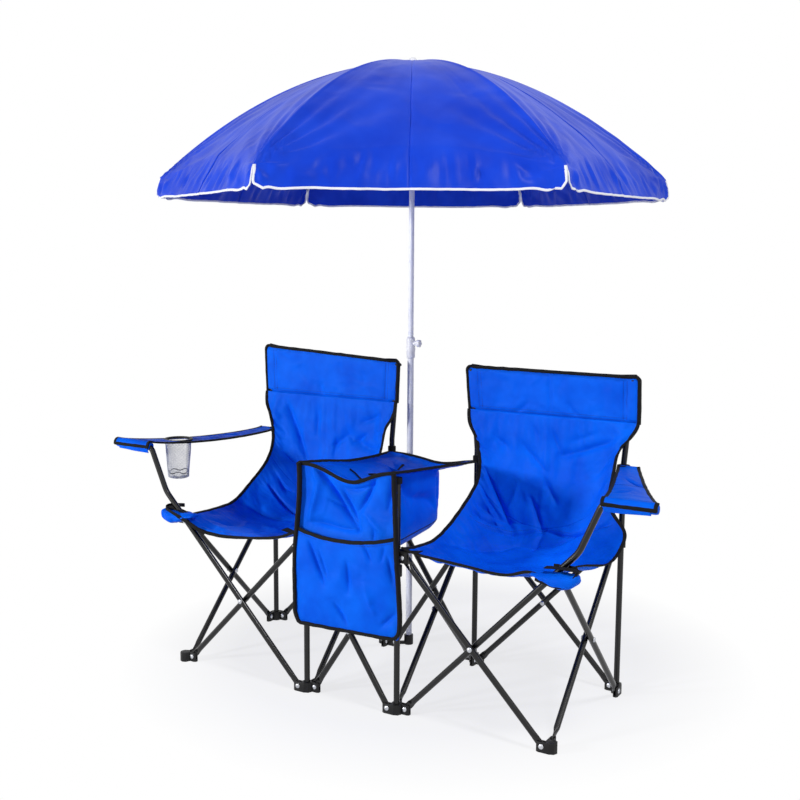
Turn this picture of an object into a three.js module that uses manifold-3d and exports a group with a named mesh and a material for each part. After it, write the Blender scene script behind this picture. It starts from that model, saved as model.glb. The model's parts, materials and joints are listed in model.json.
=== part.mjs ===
// Folding camping loveseat: two sling chairs joined by a fabric table, with a parasol behind the table.
// Millimetres, +Z up, +X to the right for someone who faces the front, which looks towards -Y.
// The origin lies on the floor under the parasol's pole, midway between the two chairs.
import * as THREE from 'three';
import { mergeVertices } from 'three/addons/utils/BufferGeometryUtils.js';
import Module from 'manifold-3d';

const wasm = await Module();
wasm.setup();

// Frame layout
const chairBay = 441;
const tableBay = 288;
const poleOffset = 31;
const pivotReach = 22;
const footPivotHeight = 15;
const seatPivotHeight = 427;
const tablePivotHeight = 387;
const backPostHeight = 872;
const tablePostHeight = 632;
const postFlare = 20;
const flareStartHeight = 640;

// Steel tube and its pressed ends
const tubeRadius = 8;
const tubeSpread = 8.5;
const eyeHalfWidth = 10;
const eyeHalfThickness = 2.6;
const eyeLength = 20;
const pressedTransition = 20;
const boreRadius = 3.3;
const pinRadius = 2.8;
const rivetHeadRadius = 5.5;
const rivetHeadHeight = 1.8;
const slideClearance = 0.5;
const meshGap = 0.3;

// Moulded feet, sliders and corner hubs
const footHeight = 27;
const footCollarRadius = 15;
const eyeClearance = 0.8;
const lugHalfWidth = 7;
const lugLength = 36;
const lugNoseLength = 6;
const lugNoseHalfWidth = 4;
const slotHalfWidth = 3.1;
const footFloor = footPivotHeight - eyeHalfWidth - eyeClearance;
const slotStart = pivotReach - eyeHalfWidth - eyeClearance;
const sliderRadius = 13;
const sliderHalfHeight = 14.5;
const hubHalfHeight = 12;
const hubTop = 9;
const hubPlateThickness = 9;
const capRadius = 10;
const capHeight = 5;

// Arm tubes
const armElbowX = 638;
const armCornerX = 694;
const armEndX = 812;
const armHeight = 632;
const armElbowRadius = 90;
const armCornerRadius = 26;

// Parasol
const parasolX = -99;
const lowerPoleRadius = 9.5;
const upperPoleRadius = 8;
const poleFit = 0.4;
const lowerPoleBottom = 8;
const lowerPoleTop = 892;
const upperPoleBottom = 640;
const socketRadius = 14;
const socketHeight = 38;
const socketWebHalfWidth = 5;
const collarRadius = 13;
const collarBottom = 888;
const collarTop = 948;
const knobHeight = 930;
const knobRadius = 11;
const knobLobeShare = 0.84;
const knobThickness = 11;
const knobStemRadius = 3;
const knobBossRadius = 6.5;
const knobBossLength = 8;
const canopyApex = 1740;
const canopyReach = 738;
const canopyDrop = 330;
const canopyThickness = 1.6;
const canopyHole = 8.6;
const valanceHeight = 58;
const valanceFlare = 14;
const valanceSlit = 3;
const slitHeight = 44;
const ribCount = 6;
const firstRibAngle = -90;
const ribRadius = 2.5;
const ribGap = 1.2;
const ribRoot = 14;
const ribTipInset = 6;
const stretcherReach = 350;
const stretcherRadius = 2;
const stretcherOffset = 3.8;
const ribLugDepth = 8;
const ribLugHalfWidth = 5;
const ribLugThickness = 2.2;
const ribPinRadius = 1;
const ribBoreRadius = 1.5;
const crownRadius = 18;
const crownHeight = 17;
const crownDrop = 4;
const crownSlotDepth = 10.4;
const finialRadius = 14;
const finialHeight = 14;
const runnerRadius = 12;
const runnerLength = 46;
const runnerFlange = 18;
const runnerFlangeHalf = 5;
const eyeRadius = 3;

// Seat covers
const clothThickness = 3;
const seatHalfWidth = 200;
const frontHemHeight = 454;
const headrestHalfWidth = 244;
const headrestBottom = 752;
const headrestTop = 893;
const headrestPadding = 9;
const sleeveRadius = 12.5;
const clothGap = 0.6;
const pocketReach = 72;
const pocketInner = 24;
const pocketHeight = 46;
const pocketFront = 32;
const pocketBack = 14;

// Armrests and cup holder
const armrestFrontInner = 714;
const armrestFrontOuter = 826;
const armrestRearInner = 584;
const armrestRearOuter = 629;
const armrestRearHeight = 626;
const armrestSag = 18;
const armrestSleeveRadius = 11.5;
const strapLoopHeight = 20;
const cupY = -345;
const cupRimRadius = 44;
const cupRimWidth = 6;
const cupRimHeight = 6;
const cupRadius = 38;
const cupFootRadius = 28;
const cupDepth = 114;
const cupWall = 1.6;

// Table, cooler bag and hanging pocket panel
const tableTop = 641;
const tableSag = 27;
const tableRearDrop = 38;
const tableFrontGap = 22;
const tableOverhang = 6;
const panelBottom = 205;
const panelFlare = 18;
const panelPocketTop = 470;
const panelPocketDepth = 9;
const bagHalfWidth = 124;
const bagFront = -452;
const bagRear = -196;
const bagBottom = 436;
const bagCorner = 26;
const bagTaper = 10;

// Facet counts
const tubeSides = 8;
const postSides = 8;
const pinSides = 6;
const roundSides = 12;
const ribSides = 6;
const pocketSides = 10;
const knobSides = 20;
const ribBoreSides = 4;

// Materials
const finish = (color, roughness, metalness) => new THREE.MeshStandardMaterial({ color, roughness, metalness });
const finishes = {
  steel: finish(0x101114, 0.25, 0.6),
  plastic: finish(0x16171a, 0.55, 0),
  blueCloth: finish(0x0a50e0, 0.85, 0),
  canopyCloth: finish(0x2238c8, 0.8, 0),
  whitePole: finish(0xf1f2f0, 0.3, 0.2),
  whitePlastic: finish(0xf4f4f2, 0.45, 0),
};

const part = new THREE.Group();
const axisX = new THREE.Vector3(1, 0, 0);
const axisY = new THREE.Vector3(0, 1, 0);
const axisZ = new THREE.Vector3(0, 0, 1);
const vector = (x, y, z) => new THREE.Vector3(x, y, z);
const mix = THREE.MathUtils.lerp;
const along = (point, direction, distance) => point.clone().addScaledVector(direction, distance);

// Turns a closed geometry into a solid: shared vertices merged, slivers dropped, faces pointing out
function solidOf(geometry) {
  const bare = geometry.index ? geometry.toNonIndexed() : geometry.clone();
  bare.deleteAttribute('normal');
  bare.deleteAttribute('uv');
  const merged = mergeVertices(bare, tubeRadius / 1e5);
  const positions = merged.attributes.position.array;
  const triangles = [];
  let volume = 0;
  const corner = (index) => vector(positions[3 * index], positions[3 * index + 1], positions[3 * index + 2]);
  for (let i = 0; i < merged.index.count; i += 3) {
    const [a, b, c] = [0, 1, 2].map((k) => merged.index.array[i + k]);
    if (a === b || b === c || a === c) continue;
    triangles.push([a, b, c]);
    volume += corner(a).dot(corner(b).cross(corner(c)));
  }
  const triVerts = Uint32Array.from(triangles.flatMap(([a, b, c]) => (volume < 0 ? [a, c, b] : [a, b, c])));
  return new wasm.Manifold(new wasm.Mesh({ numProp: 3, vertProperties: Float32Array.from(positions),
    triVerts }));
}

function geometryOf(solid) {
  const mesh = solid.getMesh();
  const geometry = new THREE.BufferGeometry();
  geometry.setAttribute('position', new THREE.BufferAttribute(Float32Array.from(mesh.vertProperties), 3));
  geometry.setIndex(Array.from(mesh.triVerts));
  geometry.computeVertexNormals();
  return geometry;
}

const joined = (solids) => solids.reduce((whole, solid) => whole.add(solid));
const cutBy = (solid, tools) => tools.reduce((rest, tool) => rest.subtract(tool), solid);

function addPart(name, solid, material) {
  const mesh = new THREE.Mesh(geometryOf(solid), material);
  mesh.name = name;
  part.add(mesh);
}

// Round bar between two points
function bar(from, to, radius, sides = roundSides, endRadius = radius) {
  const span = to.clone().sub(from);
  const geometry = new THREE.CylinderGeometry(endRadius, radius, span.length(), sides);
  geometry.applyQuaternion(new THREE.Quaternion().setFromUnitVectors(axisY, span.clone().normalize()));
  geometry.translate(...from.clone().add(to).multiplyScalar(1 / 2).toArray());
  return solidOf(geometry);
}

// Round hole whose flats, not its corners, lie at the radius
const hole = (from, to, radius, sides = postSides) => bar(from, to, radius / Math.cos(Math.PI / sides), sides);

function box(low, high) {
  const size = high.clone().sub(low);
  const geometry = new THREE.BoxGeometry(Math.abs(size.x), Math.abs(size.y), Math.abs(size.z));
  geometry.translate(...low.clone().add(high).multiplyScalar(1 / 2).toArray());
  return solidOf(geometry);
}

// Solid of revolution about a vertical axis; the profile is a list of [radius, height]
function turned(profile, x, y, sides = roundSides) {
  const geometry = new THREE.LatheGeometry(profile.map(([r, z]) => new THREE.Vector2(r, z)), sides);
  geometry.rotateX(Math.PI / 2);
  geometry.translate(x, y, 0);
  return solidOf(geometry);
}

function meshSolid(points, faces) {
  const geometry = new THREE.BufferGeometry();
  geometry.setAttribute('position', new THREE.Float32BufferAttribute(points.flatMap((p) => p.toArray()), 3));
  geometry.setIndex(faces.flat());
  return solidOf(geometry);
}

// Skin over closed rings of equal count, with a fan on each end ring
function loft(rings) {
  const count = rings[0].length;
  const faces = [];
  for (let j = 0; j + 1 < rings.length; j += 1) {
    for (let i = 0; i < count; i += 1) {
      const [a, b] = [j * count + i, j * count + ((i + 1) % count)];
      faces.push([a, b, b + count], [a, b + count, a + count]);
    }
  }
  const last = (rings.length - 1) * count;
  for (let i = 1; i + 1 < count; i += 1) faces.push([0, i + 1, i], [last, last + i, last + i + 1]);
  return meshSolid(rings.flat(), faces);
}

// Cloth between a face grid and a back grid, closed along the four edges
function sheet(face, back) {
  const [rows, columns] = [face.length, face[0].length];
  const offset = rows * columns;
  const at = (j, i) => j * columns + i;
  const faces = [];
  for (let j = 0; j + 1 < rows; j += 1) {
    for (let i = 0; i + 1 < columns; i += 1) {
      const [a, b, c, d] = [at(j, i), at(j, i + 1), at(j + 1, i + 1), at(j + 1, i)];
      faces.push([a, b, c], [a, c, d], [a + offset, c + offset, b + offset],
        [a + offset, d + offset, c + offset]);
    }
  }
  const border = [];
  for (let i = 0; i + 1 < columns; i += 1) border.push([at(0, i + 1), at(0, i)],
    [at(rows - 1, i), at(rows - 1, i + 1)]);
  for (let j = 0; j + 1 < rows; j += 1) border.push([at(j, 0), at(j + 1, 0)],
    [at(j + 1, columns - 1), at(j, columns - 1)]);
  for (const [a, b] of border) faces.push([a, b, b + offset], [a, b + offset, a + offset]);
  return meshSolid([...face.flat(), ...back.flat()], faces);
}

// Tube that follows stations of place, direction, half width in its bending plane and half thickness
function pressedTube(stations, normal, sides = tubeSides) {
  return loft(stations.map(({ place, direction, width, thickness }) => {
    const side = normal.clone().cross(direction);
    return Array.from({ length: sides }, (_, i) => {
      const turn = (2 * Math.PI * (i + 1 / 2)) / sides;
      return along(along(place, side, width * Math.cos(turn)), normal, thickness * Math.sin(turn));
    });
  }));
}

// Half widths and thicknesses of a pressed eye, from its nose to the round tube, as distances past the pin
const noseShares = [0.92, 0.45];
const pressedEnd = [
  ...noseShares.map((share) => [-share * eyeHalfWidth, Math.sqrt(1 - share * share) * eyeHalfWidth,
    eyeHalfThickness]),
  [eyeLength, eyeHalfWidth, eyeHalfThickness],
  [eyeLength + pressedTransition, tubeRadius, tubeRadius],
];

function straightStations(from, to) {
  const direction = to.clone().sub(from).normalize();
  const length = to.distanceTo(from);
  const distances = [...pressedEnd, ...pressedEnd.map(([d, w, t]) => [length - d, w, t]).reverse()];
  return distances.map(([d, width, thickness]) => ({ place: along(from, direction, d), direction, width,
    thickness }));
}

// Rivet or pin through a stack, with a head at one end or both
function rivet(centre, axis, halfLength, headed = [true, true]) {
  const pieces = [bar(along(centre, axis, -halfLength), along(centre, axis, halfLength), pinRadius, pinSides)];
  for (const [index, sign] of [-1, 1].entries()) {
    if (!headed[index]) continue;
    const base = along(centre, axis, sign * halfLength);
    pieces.push(bar(along(base, axis, -sign * meshGap / 2), along(base, axis, sign * rivetHeadHeight),
      rivetHeadRadius, pinSides, rivetHeadRadius * 0.7));
  }
  return joined(pieces);
}

const bore = (centre, axis, halfLength, radius = boreRadius) =>
  bar(along(centre, axis, -halfLength), along(centre, axis, halfLength), radius, pinSides);

// Post places. The outer front corners have no post, only a foot and a hub
const innerX = tableBay / 2;
const outerX = innerX + chairBay;
const rearY = -poleOffset;
const frontY = rearY - chairBay;
const corners = {
  rear_outer_left: { x: -outerX, y: rearY, flare: -postFlare },
  rear_inner_left: { x: -innerX, y: rearY, flare: postFlare },
  rear_inner_right: { x: innerX, y: rearY, flare: -postFlare },
  rear_outer_right: { x: outerX, y: rearY, flare: postFlare },
  front_inner_left: { x: -innerX, y: frontY },
  front_inner_right: { x: innerX, y: frontY },
  front_outer_left: { x: -outerX, y: frontY },
  front_outer_right: { x: outerX, y: frontY },
};

// Scissor faces: tube a rises from corner a's foot to corner b, tube b the other way. Spread says on which side of the
// face tube a lies, along the face's normal
const faces = [
  { name: 'rear_left', a: 'rear_inner_left', b: 'rear_outer_left', normal: axisY, spread: -1 },
  { name: 'rear_right', a: 'rear_inner_right', b: 'rear_outer_right', normal: axisY, spread: -1 },
  { name: 'front_left', a: 'front_inner_left', b: 'front_outer_left', normal: axisY, spread: -1, arm: -1 },
  { name: 'front_right', a: 'front_inner_right', b: 'front_outer_right', normal: axisY, spread: 1, arm: 1 },
  { name: 'side_outer_left', a: 'rear_outer_left', b: 'front_outer_left', normal: axisX, spread: -1 },
  { name: 'side_inner_left', a: 'rear_inner_left', b: 'front_inner_left', normal: axisX, spread: -1 },
  { name: 'side_inner_right', a: 'rear_inner_right', b: 'front_inner_right', normal: axisX, spread: 1 },
  { name: 'side_outer_right', a: 'rear_outer_right', b: 'front_outer_right', normal: axisX, spread: 1 },
  { name: 'table_rear', a: 'rear_inner_left', b: 'rear_inner_right', normal: axisY, spread: -1, table: true },
  { name: 'table_front', a: 'front_inner_left', b: 'front_inner_right', normal: axisY, spread: 1, table: true },
];

// Where a face's tube end pivots beside a corner, at a height, on one side of the face
function pivotAt(face, from, to, height, side) {
  const here = vector(corners[from].x, corners[from].y, height);
  const there = vector(corners[to].x, corners[to].y, height);
  const outward = there.clone().sub(here).normalize();
  return { place: along(along(here, outward, pivotReach), face.normal, side * tubeSpread), outward };
}

const lugsAtFeet = Object.fromEntries(Object.keys(corners).map((name) => [name, []]));
const lugsAtSeat = Object.fromEntries(Object.keys(corners).map((name) => [name, []]));
const lugsAtTable = Object.fromEntries(Object.keys(corners).map((name) => [name, []]));
for (const face of faces) {
  const top = face.table ? tablePivotHeight : seatPivotHeight;
  const upperLugs = face.table ? lugsAtTable : lugsAtSeat;
  face.tubes = [[face.a, face.b, face.spread], [face.b, face.a, -face.spread]].map(([low, high, side]) => {
    const foot = pivotAt(face, low, high, footPivotHeight, side);
    const head = pivotAt(face, high, low, top, side);
    lugsAtFeet[low].push({ ...foot, normal: face.normal, side });
    upperLugs[high].push({ ...head, normal: face.normal, side, arm: face.arm && low === face.a });
    return { foot: foot.place, head: head.place, side };
  });
}

// One lug of a foot or slider: a nosed block with a slot for the tube's eye and a riveted pin across it
function lugBlock(lug, corner, bottom, top) {
  const sideways = lug.normal;
  const base = along(vector(corner.x, corner.y, 0), sideways, lug.side * tubeSpread);
  const plan = [
    [0, -lugHalfWidth], [lugLength - lugNoseLength, -lugHalfWidth], [lugLength, -lugNoseHalfWidth],
    [lugLength, lugNoseHalfWidth], [lugLength - lugNoseLength, lugHalfWidth], [0, lugHalfWidth],
  ];
  const ring = (height) => plan.map(([reach, wide]) => {
    const point = along(along(base, lug.outward, reach), sideways, wide);
    return vector(point.x, point.y, height);
  });
  return loft([ring(bottom), ring(top)]);
}

function lugSlot(lug, corner, bottom, top) {
  const sideways = lug.normal;
  const base = along(vector(corner.x, corner.y, 0), sideways, lug.side * tubeSpread);
  const from = along(along(base, lug.outward, slotStart), sideways, -slotHalfWidth);
  const to = along(along(base, lug.outward, lugLength + lugNoseLength), sideways, slotHalfWidth);
  const [low, high] = [from.clone().min(to), from.clone().max(to)];
  return box(low.setZ(bottom), high.setZ(top));
}

const lugPin = (lug) => rivet(lug.place, lug.normal, lugHalfWidth);

function footSolid(name) {
  const corner = corners[name];
  const lugs = lugsAtFeet[name];
  const blocks = lugs.map((lug) => lugBlock(lug, corner, 0, footHeight));
  const collar = bar(vector(corner.x, corner.y, 0), vector(corner.x, corner.y, footHeight), footCollarRadius,
    postSides);
  const slots = lugs.map((lug) => lugSlot(lug, corner, footFloor, footHeight + footFloor));
  return joined([cutBy(joined([collar, ...blocks]), slots), ...lugs.map(lugPin)]);
}

// Post axis: straight up the slider's travel, then leaning out to the top on the back posts
function postAxis(name, height) {
  const { x, y, flare } = corners[name];
  const lean = Math.max(0, height - flareStartHeight) / (backPostHeight - flareStartHeight);
  return vector(x + (flare ?? 0) * lean, y, height);
}

function postRod(name, top, radius, bottom = footFloor) {
  const heights = top > flareStartHeight ? [bottom, flareStartHeight, top] : [bottom, top];
  return loft(heights.map((height) => {
    const centre = postAxis(name, height);
    return Array.from({ length: postSides }, (_, i) => {
      const turn = (2 * Math.PI * i) / postSides;
      return vector(centre.x + radius * Math.cos(turn), centre.y + radius * Math.sin(turn), height);
    });
  }));
}

function addPosts() {
  for (const [name, corner] of Object.entries(corners)) {
    if (name.startsWith('front_outer')) {
      addPart(`${name.replace('front_outer', 'front_foot')}`, footSolid(name), finishes.plastic);
      continue;
    }
    const top = name.startsWith('rear') ? backPostHeight : tablePostHeight;
    const tip = postAxis(name, top);
    const cap = bar(along(tip, axisZ, -capHeight), tip, capRadius, postSides);
    let solid = joined([footSolid(name), postRod(name, top, tubeRadius), cap]);
    if (name === 'rear_inner_left') solid = withSocket(solid, corner);
    addPart(`post_${name}`, solid, finishes.steel);
  }
}

// Cup beside the foot that holds the parasol's pole
function withSocket(solid, corner) {
  const cup = bar(vector(parasolX, 0, 0), vector(parasolX, 0, socketHeight), socketRadius);
  const reach = vector(parasolX - corner.x, -corner.y, 0).normalize();
  const sideways = vector(-reach.y, reach.x, 0);
  const start = vector(corner.x, corner.y, 0);
  const ring = (height) => [[0, -1], [1, -1], [1, 1], [0, 1]].map(([end, side]) => {
    const point = along(end ? vector(parasolX, 0, 0) : start, sideways, side * socketWebHalfWidth);
    return vector(point.x, point.y, height);
  });
  const web = loft([ring(0), ring(footFloor * 2)]);
  const well = hole(vector(parasolX, 0, lowerPoleBottom - meshGap), vector(parasolX, 0, socketHeight * 2),
    lowerPoleRadius + slideClearance, roundSides);
  return joined([solid, web, cup]).subtract(well);
}

function sliderSolid(name, lugs, height) {
  const corner = corners[name];
  const [bottom, top] = [height - sliderHalfHeight, height + sliderHalfHeight];
  const collar = bar(vector(corner.x, corner.y, bottom), vector(corner.x, corner.y, top), sliderRadius,
    postSides);
  const blocks = lugs.map((lug) => lugBlock(lug, corner, bottom, top));
  const slots = lugs.map((lug) => lugSlot(lug, corner, bottom - sliderHalfHeight,
    height + eyeHalfWidth + eyeClearance));
  const postHole = hole(vector(corner.x, corner.y, 0), vector(corner.x, corner.y, height * 2),
    tubeRadius + slideClearance);
  return joined([cutBy(joined([collar, ...blocks]), [...slots, postHole]), ...lugs.map(lugPin)]);
}

function addSliders() {
  for (const name of Object.keys(corners)) {
    if (name.startsWith('front_outer')) continue;
    addPart(`seat_slider_${name}`, sliderSolid(name, lugsAtSeat[name], seatPivotHeight), finishes.plastic);
    if (!lugsAtTable[name].length) continue;
    addPart(`table_slider_${name}`, sliderSolid(name, lugsAtTable[name], tablePivotHeight), finishes.plastic);
  }
}

// Hub at an outer front corner: it hangs on a pin through the arm tube and carries the side tube's eye
function cornerHubShape(name) {
  const corner = corners[name];
  const armLug = lugsAtSeat[name].find((lug) => lug.arm);
  const sideLug = lugsAtSeat[name].find((lug) => !lug.arm);
  const [bottom, top] = [seatPivotHeight - hubHalfHeight, seatPivotHeight + hubTop];
  const plateFront = armLug.place.y + tubeRadius + meshGap;
  const inwards = -Math.sign(corner.x);
  const innerEdge = armLug.place.x + inwards * (eyeHalfWidth);
  const outerEdge = sideLug.place.x - inwards * lugHalfWidth;
  const plate = box(
    vector(Math.min(innerEdge, outerEdge), plateFront, bottom),
    vector(Math.max(innerEdge, outerEdge), plateFront + hubPlateThickness, top),
  );
  const block = lugBlock(sideLug, corner, bottom, top);
  return { corner, armLug, sideLug, bottom, top, plate, block, plateFront };
}

function cornerHub(name) {
  const { corner, armLug, sideLug, bottom, top, plate, block, plateFront } = cornerHubShape(name);
  const slot = lugSlot(sideLug, corner, bottom - sliderHalfHeight, top + sliderHalfHeight);
  const pinStart = vector(armLug.place.x, armLug.place.y - tubeRadius - meshGap, seatPivotHeight);
  const pinEnd = vector(armLug.place.x, plateFront + hubPlateThickness / 2, seatPivotHeight);
  const pin = bar(pinStart, pinEnd, pinRadius, pinSides);
  const head = bar(pinStart, along(pinStart, axisY, -rivetHeadHeight), rivetHeadRadius, pinSides,
    rivetHeadRadius * 0.7);
  const body = joined([plate, block]).subtract(slot);
  return joined([body, lugPin(sideLug), pin, head]);
}

// Arm tube: the long front scissor tube, carried on past the seat corner, up and out under the armrest
function armStations(face) {
  const { foot, head } = face.tubes[0];
  const sign = face.arm;
  const rise = head.clone().sub(foot).normalize();
  const elbow = along(foot, rise, (sign * armElbowX - foot.x) / rise.x);
  const cornerPoint = vector(sign * armCornerX, foot.y, armHeight);
  const end = vector(sign * armEndX, foot.y, armHeight);
  const stations = pressedEnd.map(([d, width, thickness]) => ({ place: along(foot, rise, d), direction: rise,
    width, thickness }));
  const bends = [[foot, elbow, cornerPoint, armElbowRadius, 4], [elbow, cornerPoint, end, armCornerRadius, 6]];
  for (const [before, at, after, radius, steps] of bends) {
    const [into, out] = [at.clone().sub(before).normalize(), after.clone().sub(at).normalize()];
    const turn = into.angleTo(out);
    const setback = radius * Math.tan(turn / 2);
    const normal = into.clone().cross(out).normalize();
    const centre = along(along(at, into, -setback), normal.clone().cross(into), radius);
    for (let step = 0; step <= steps; step += 1) {
      const spin = (turn * step) / steps;
      const direction = into.clone().applyAxisAngle(normal, spin);
      const place = along(centre, normal.clone().cross(direction), -radius);
      stations.push({ place, direction, width: tubeRadius, thickness: tubeRadius });
    }
  }
  stations.push({ place: end, direction: vector(sign, 0, 0), width: tubeRadius, thickness: tubeRadius });
  return stations;
}

function addTubes() {
  for (const face of faces) {
    const [tubeA, tubeB] = face.tubes;
    const cross = tubeA.foot.clone().add(tubeA.head).multiplyScalar(1 / 2);
    cross.addScaledVector(face.normal, -tubeA.side * tubeSpread);
    const reach = tubeSpread + tubeRadius + meshGap;
    const drills = (places) => places.map((place) => bore(place, face.normal, tubeRadius * 2));
    const stationsA = face.arm ? armStations(face) : straightStations(tubeA.foot, tubeA.head);
    const crossing = rivet(cross, face.normal, reach);
    const solidA = cutBy(pressedTube(stationsA, face.normal), drills([tubeA.foot, tubeA.head])).add(crossing);
    const crossB = cross.clone().addScaledVector(face.normal, -tubeA.side * tubeSpread);
    const solidB = cutBy(
      pressedTube(straightStations(tubeB.foot, tubeB.head), face.normal),
      drills([tubeB.foot, tubeB.head, crossB]),
    );
    const nameA = face.arm ? `arm_tube_${face.arm < 0 ? 'left' : 'right'}` : `${face.name}_tube_a`;
    addPart(nameA, solidA, finishes.steel);
    addPart(`${face.name}_tube_b`, solidB, finishes.steel);
  }
}

// Seat cover of one chair: scooped seat, waisted back, padded headrest that sleeves the posts, corner pocket, armrest
const seatFrontShare = -0.02;
const seatSideCurve = [
  // share of the bay from the front, height above the front hem, half width share
  [seatFrontShare, 0, 1], [0.16, -0.03, 1], [0.3, -0.045, 1], [0.42, -0.015, 1], [0.52, 0.03, 1],
  [0.68, 0.095, 1], [0.8, 0.18, 1], [0.88, 0.28, 1], [0.925, 0.4, 1],
];
const seatMiddleCurve = [
  [seatFrontShare - 0.01, -0.07], [0.14, -0.13], [0.28, -0.165], [0.42, -0.17], [0.55, -0.155],
  [0.7, -0.11], [0.83, -0.03], [0.92, 0.1], [0.945, 0.25],
];
const backShares = [0, 0.3, 0.62, 1];
const seatWaveShare = 0.012;
const seatColumns = 8;

function seatGrid(side, columns) {
  const middleX = side * (innerX + chairBay / 2);
  const bay = chairBay;
  const rows = seatSideCurve.map(([reach, rise, wide], j) => {
    const [middleReach, middleRise] = seatMiddleCurve[j];
    return { reach, rise, middleReach, middleRise, half: wide * seatHalfWidth };
  });
  const top = rows[rows.length - 1];
  const backRise = (headrestBottom - frontHemHeight) / bay;
  const backReach = (chairBay - tubeRadius - clothGap - clothThickness * 2) / bay;
  for (const share of backShares.slice(1)) {
    rows.push({
      reach: mix(top.reach, backReach, share), middleReach: mix(top.middleReach, backReach, share),
      rise: mix(top.rise, backRise, share), middleRise: mix(top.middleRise, backRise, share),
      half: mix(seatHalfWidth, headrestHalfWidth - sleeveRadius, share * share),
    });
  }
  return rows.map((row, j) => Array.from({ length: columns + 1 }, (_, i) => {
    const across = (2 * i) / columns - 1;
    const hang = 1 - across * across;
    const reach = mix(row.reach, row.middleReach, hang);
    const fold = seatWaveShare * Math.sin(across * 3 * Math.PI) * Math.sin((Math.PI * j) / (rows.length - 1));
    const rise = mix(row.rise, row.middleRise, hang) + fold;
    return vector(middleX + across * row.half, frontY + reach * bay, frontHemHeight + rise * bay);
  }));
}

// Back grid of a sheet, offset along the local normal
function offsetGrid(grid, thickness, flip = 1) {
  return grid.map((row, j) => row.map((point, i) => {
    const alongRow = grid[j][Math.min(i + 1, row.length - 1)].clone().sub(grid[j][Math.max(i - 1, 0)]);
    const alongColumn = grid[Math.min(j + 1, grid.length - 1)][i].clone().sub(grid[Math.max(j - 1, 0)][i]);
    const normal = alongRow.cross(alongColumn).normalize();
    return along(point, normal, flip * thickness);
  }));
}

function headrest(side) {
  const middleX = side * (innerX + chairBay / 2);
  const faceY = rearY - tubeRadius - clothGap - clothThickness * 2;
  const backY = rearY + sleeveRadius;
  const edge = headrestPadding / 2;
  const acrossShares = [-1, -0.94, -0.86, -0.5, 0, 0.5, 0.86, 0.94, 1];
  const rear = (share) => (Math.abs(share) > 0.9 ? backY : faceY + clothThickness + headrestPadding * (1 - share * share));
  const heights = [headrestBottom - clothThickness, headrestBottom + edge, (headrestBottom + headrestTop) / 2,
    headrestTop - edge, headrestTop];
  const puff = (j) => headrestPadding * Math.sin((Math.PI * j) / (heights.length - 1)) / 2;
  const grid = (depth) => heights.map((height, j) => acrossShares.map((share) => vector(
    middleX + share * headrestHalfWidth, depth(share, j), height,
  )));
  const face = grid((share, j) => faceY - puff(j) * (1 - share * share));
  const back = grid((share) => rear(share));
  return sheet(face, back);
}

// Share of the way outwards and share of the full section
const pocketSizeShares = [[0, 1], [0.25, 1.02], [0.6, 0.9], [0.85, 0.66], [1, 0.36]];

function cornerPocket(side) {
  const name = side < 0 ? 'front_outer_left' : 'front_outer_right';
  const { armLug, bottom, top, sideLug } = cornerHubShape(name);
  const outer = side * (outerX + pocketReach);
  const inner = side * (outerX - pocketInner);
  const middle = frontHemHeight - pocketHeight / 2 + clothThickness * 2;
  const ring = (x, share) => Array.from({ length: pocketSides }, (_, i) => {
    const turn = (2 * Math.PI * (i + 1 / 2)) / pocketSides;
    const depth = (pocketFront + pocketBack) / 2;
    const centre = frontY + (pocketBack - pocketFront) / 2;
    return vector(x, centre + share * depth * Math.cos(turn),
      middle + share * (pocketHeight / 2) * Math.sin(turn));
  });
  const pouch = loft(pocketSizeShares.map(([share, size]) => ring(mix(inner, outer, share), size)));
  const wide = clothGap * 2;
  const low = vector(Math.min(armLug.place.x - eyeHalfWidth, sideLug.place.x - lugHalfWidth) - wide,
    frontY - wide * 2, bottom - wide);
  const high = vector(Math.max(armLug.place.x + eyeHalfWidth, sideLug.place.x + lugHalfWidth) + wide,
    frontY + chairBay / 2, top + wide);
  const face = faces.find((item) => item.arm === side);
  const armHole = pressedTube(armStations(face).map((s) => ({ ...s, width: s.width + wide,
    thickness: s.thickness + wide })), face.normal);
  const headHole = bore(armLug.place, axisY, tubeRadius + rivetHeadHeight + wide * 2, rivetHeadRadius + wide);
  return cutBy(pouch, [box(low, high), armHole, headHole]);
}

// How far the armrest's strap hangs below a straight line, steepest behind the arm tube
const armrestDip = (share) => armrestSag * Math.sqrt(Math.abs(Math.sin(Math.PI * share)));

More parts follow.
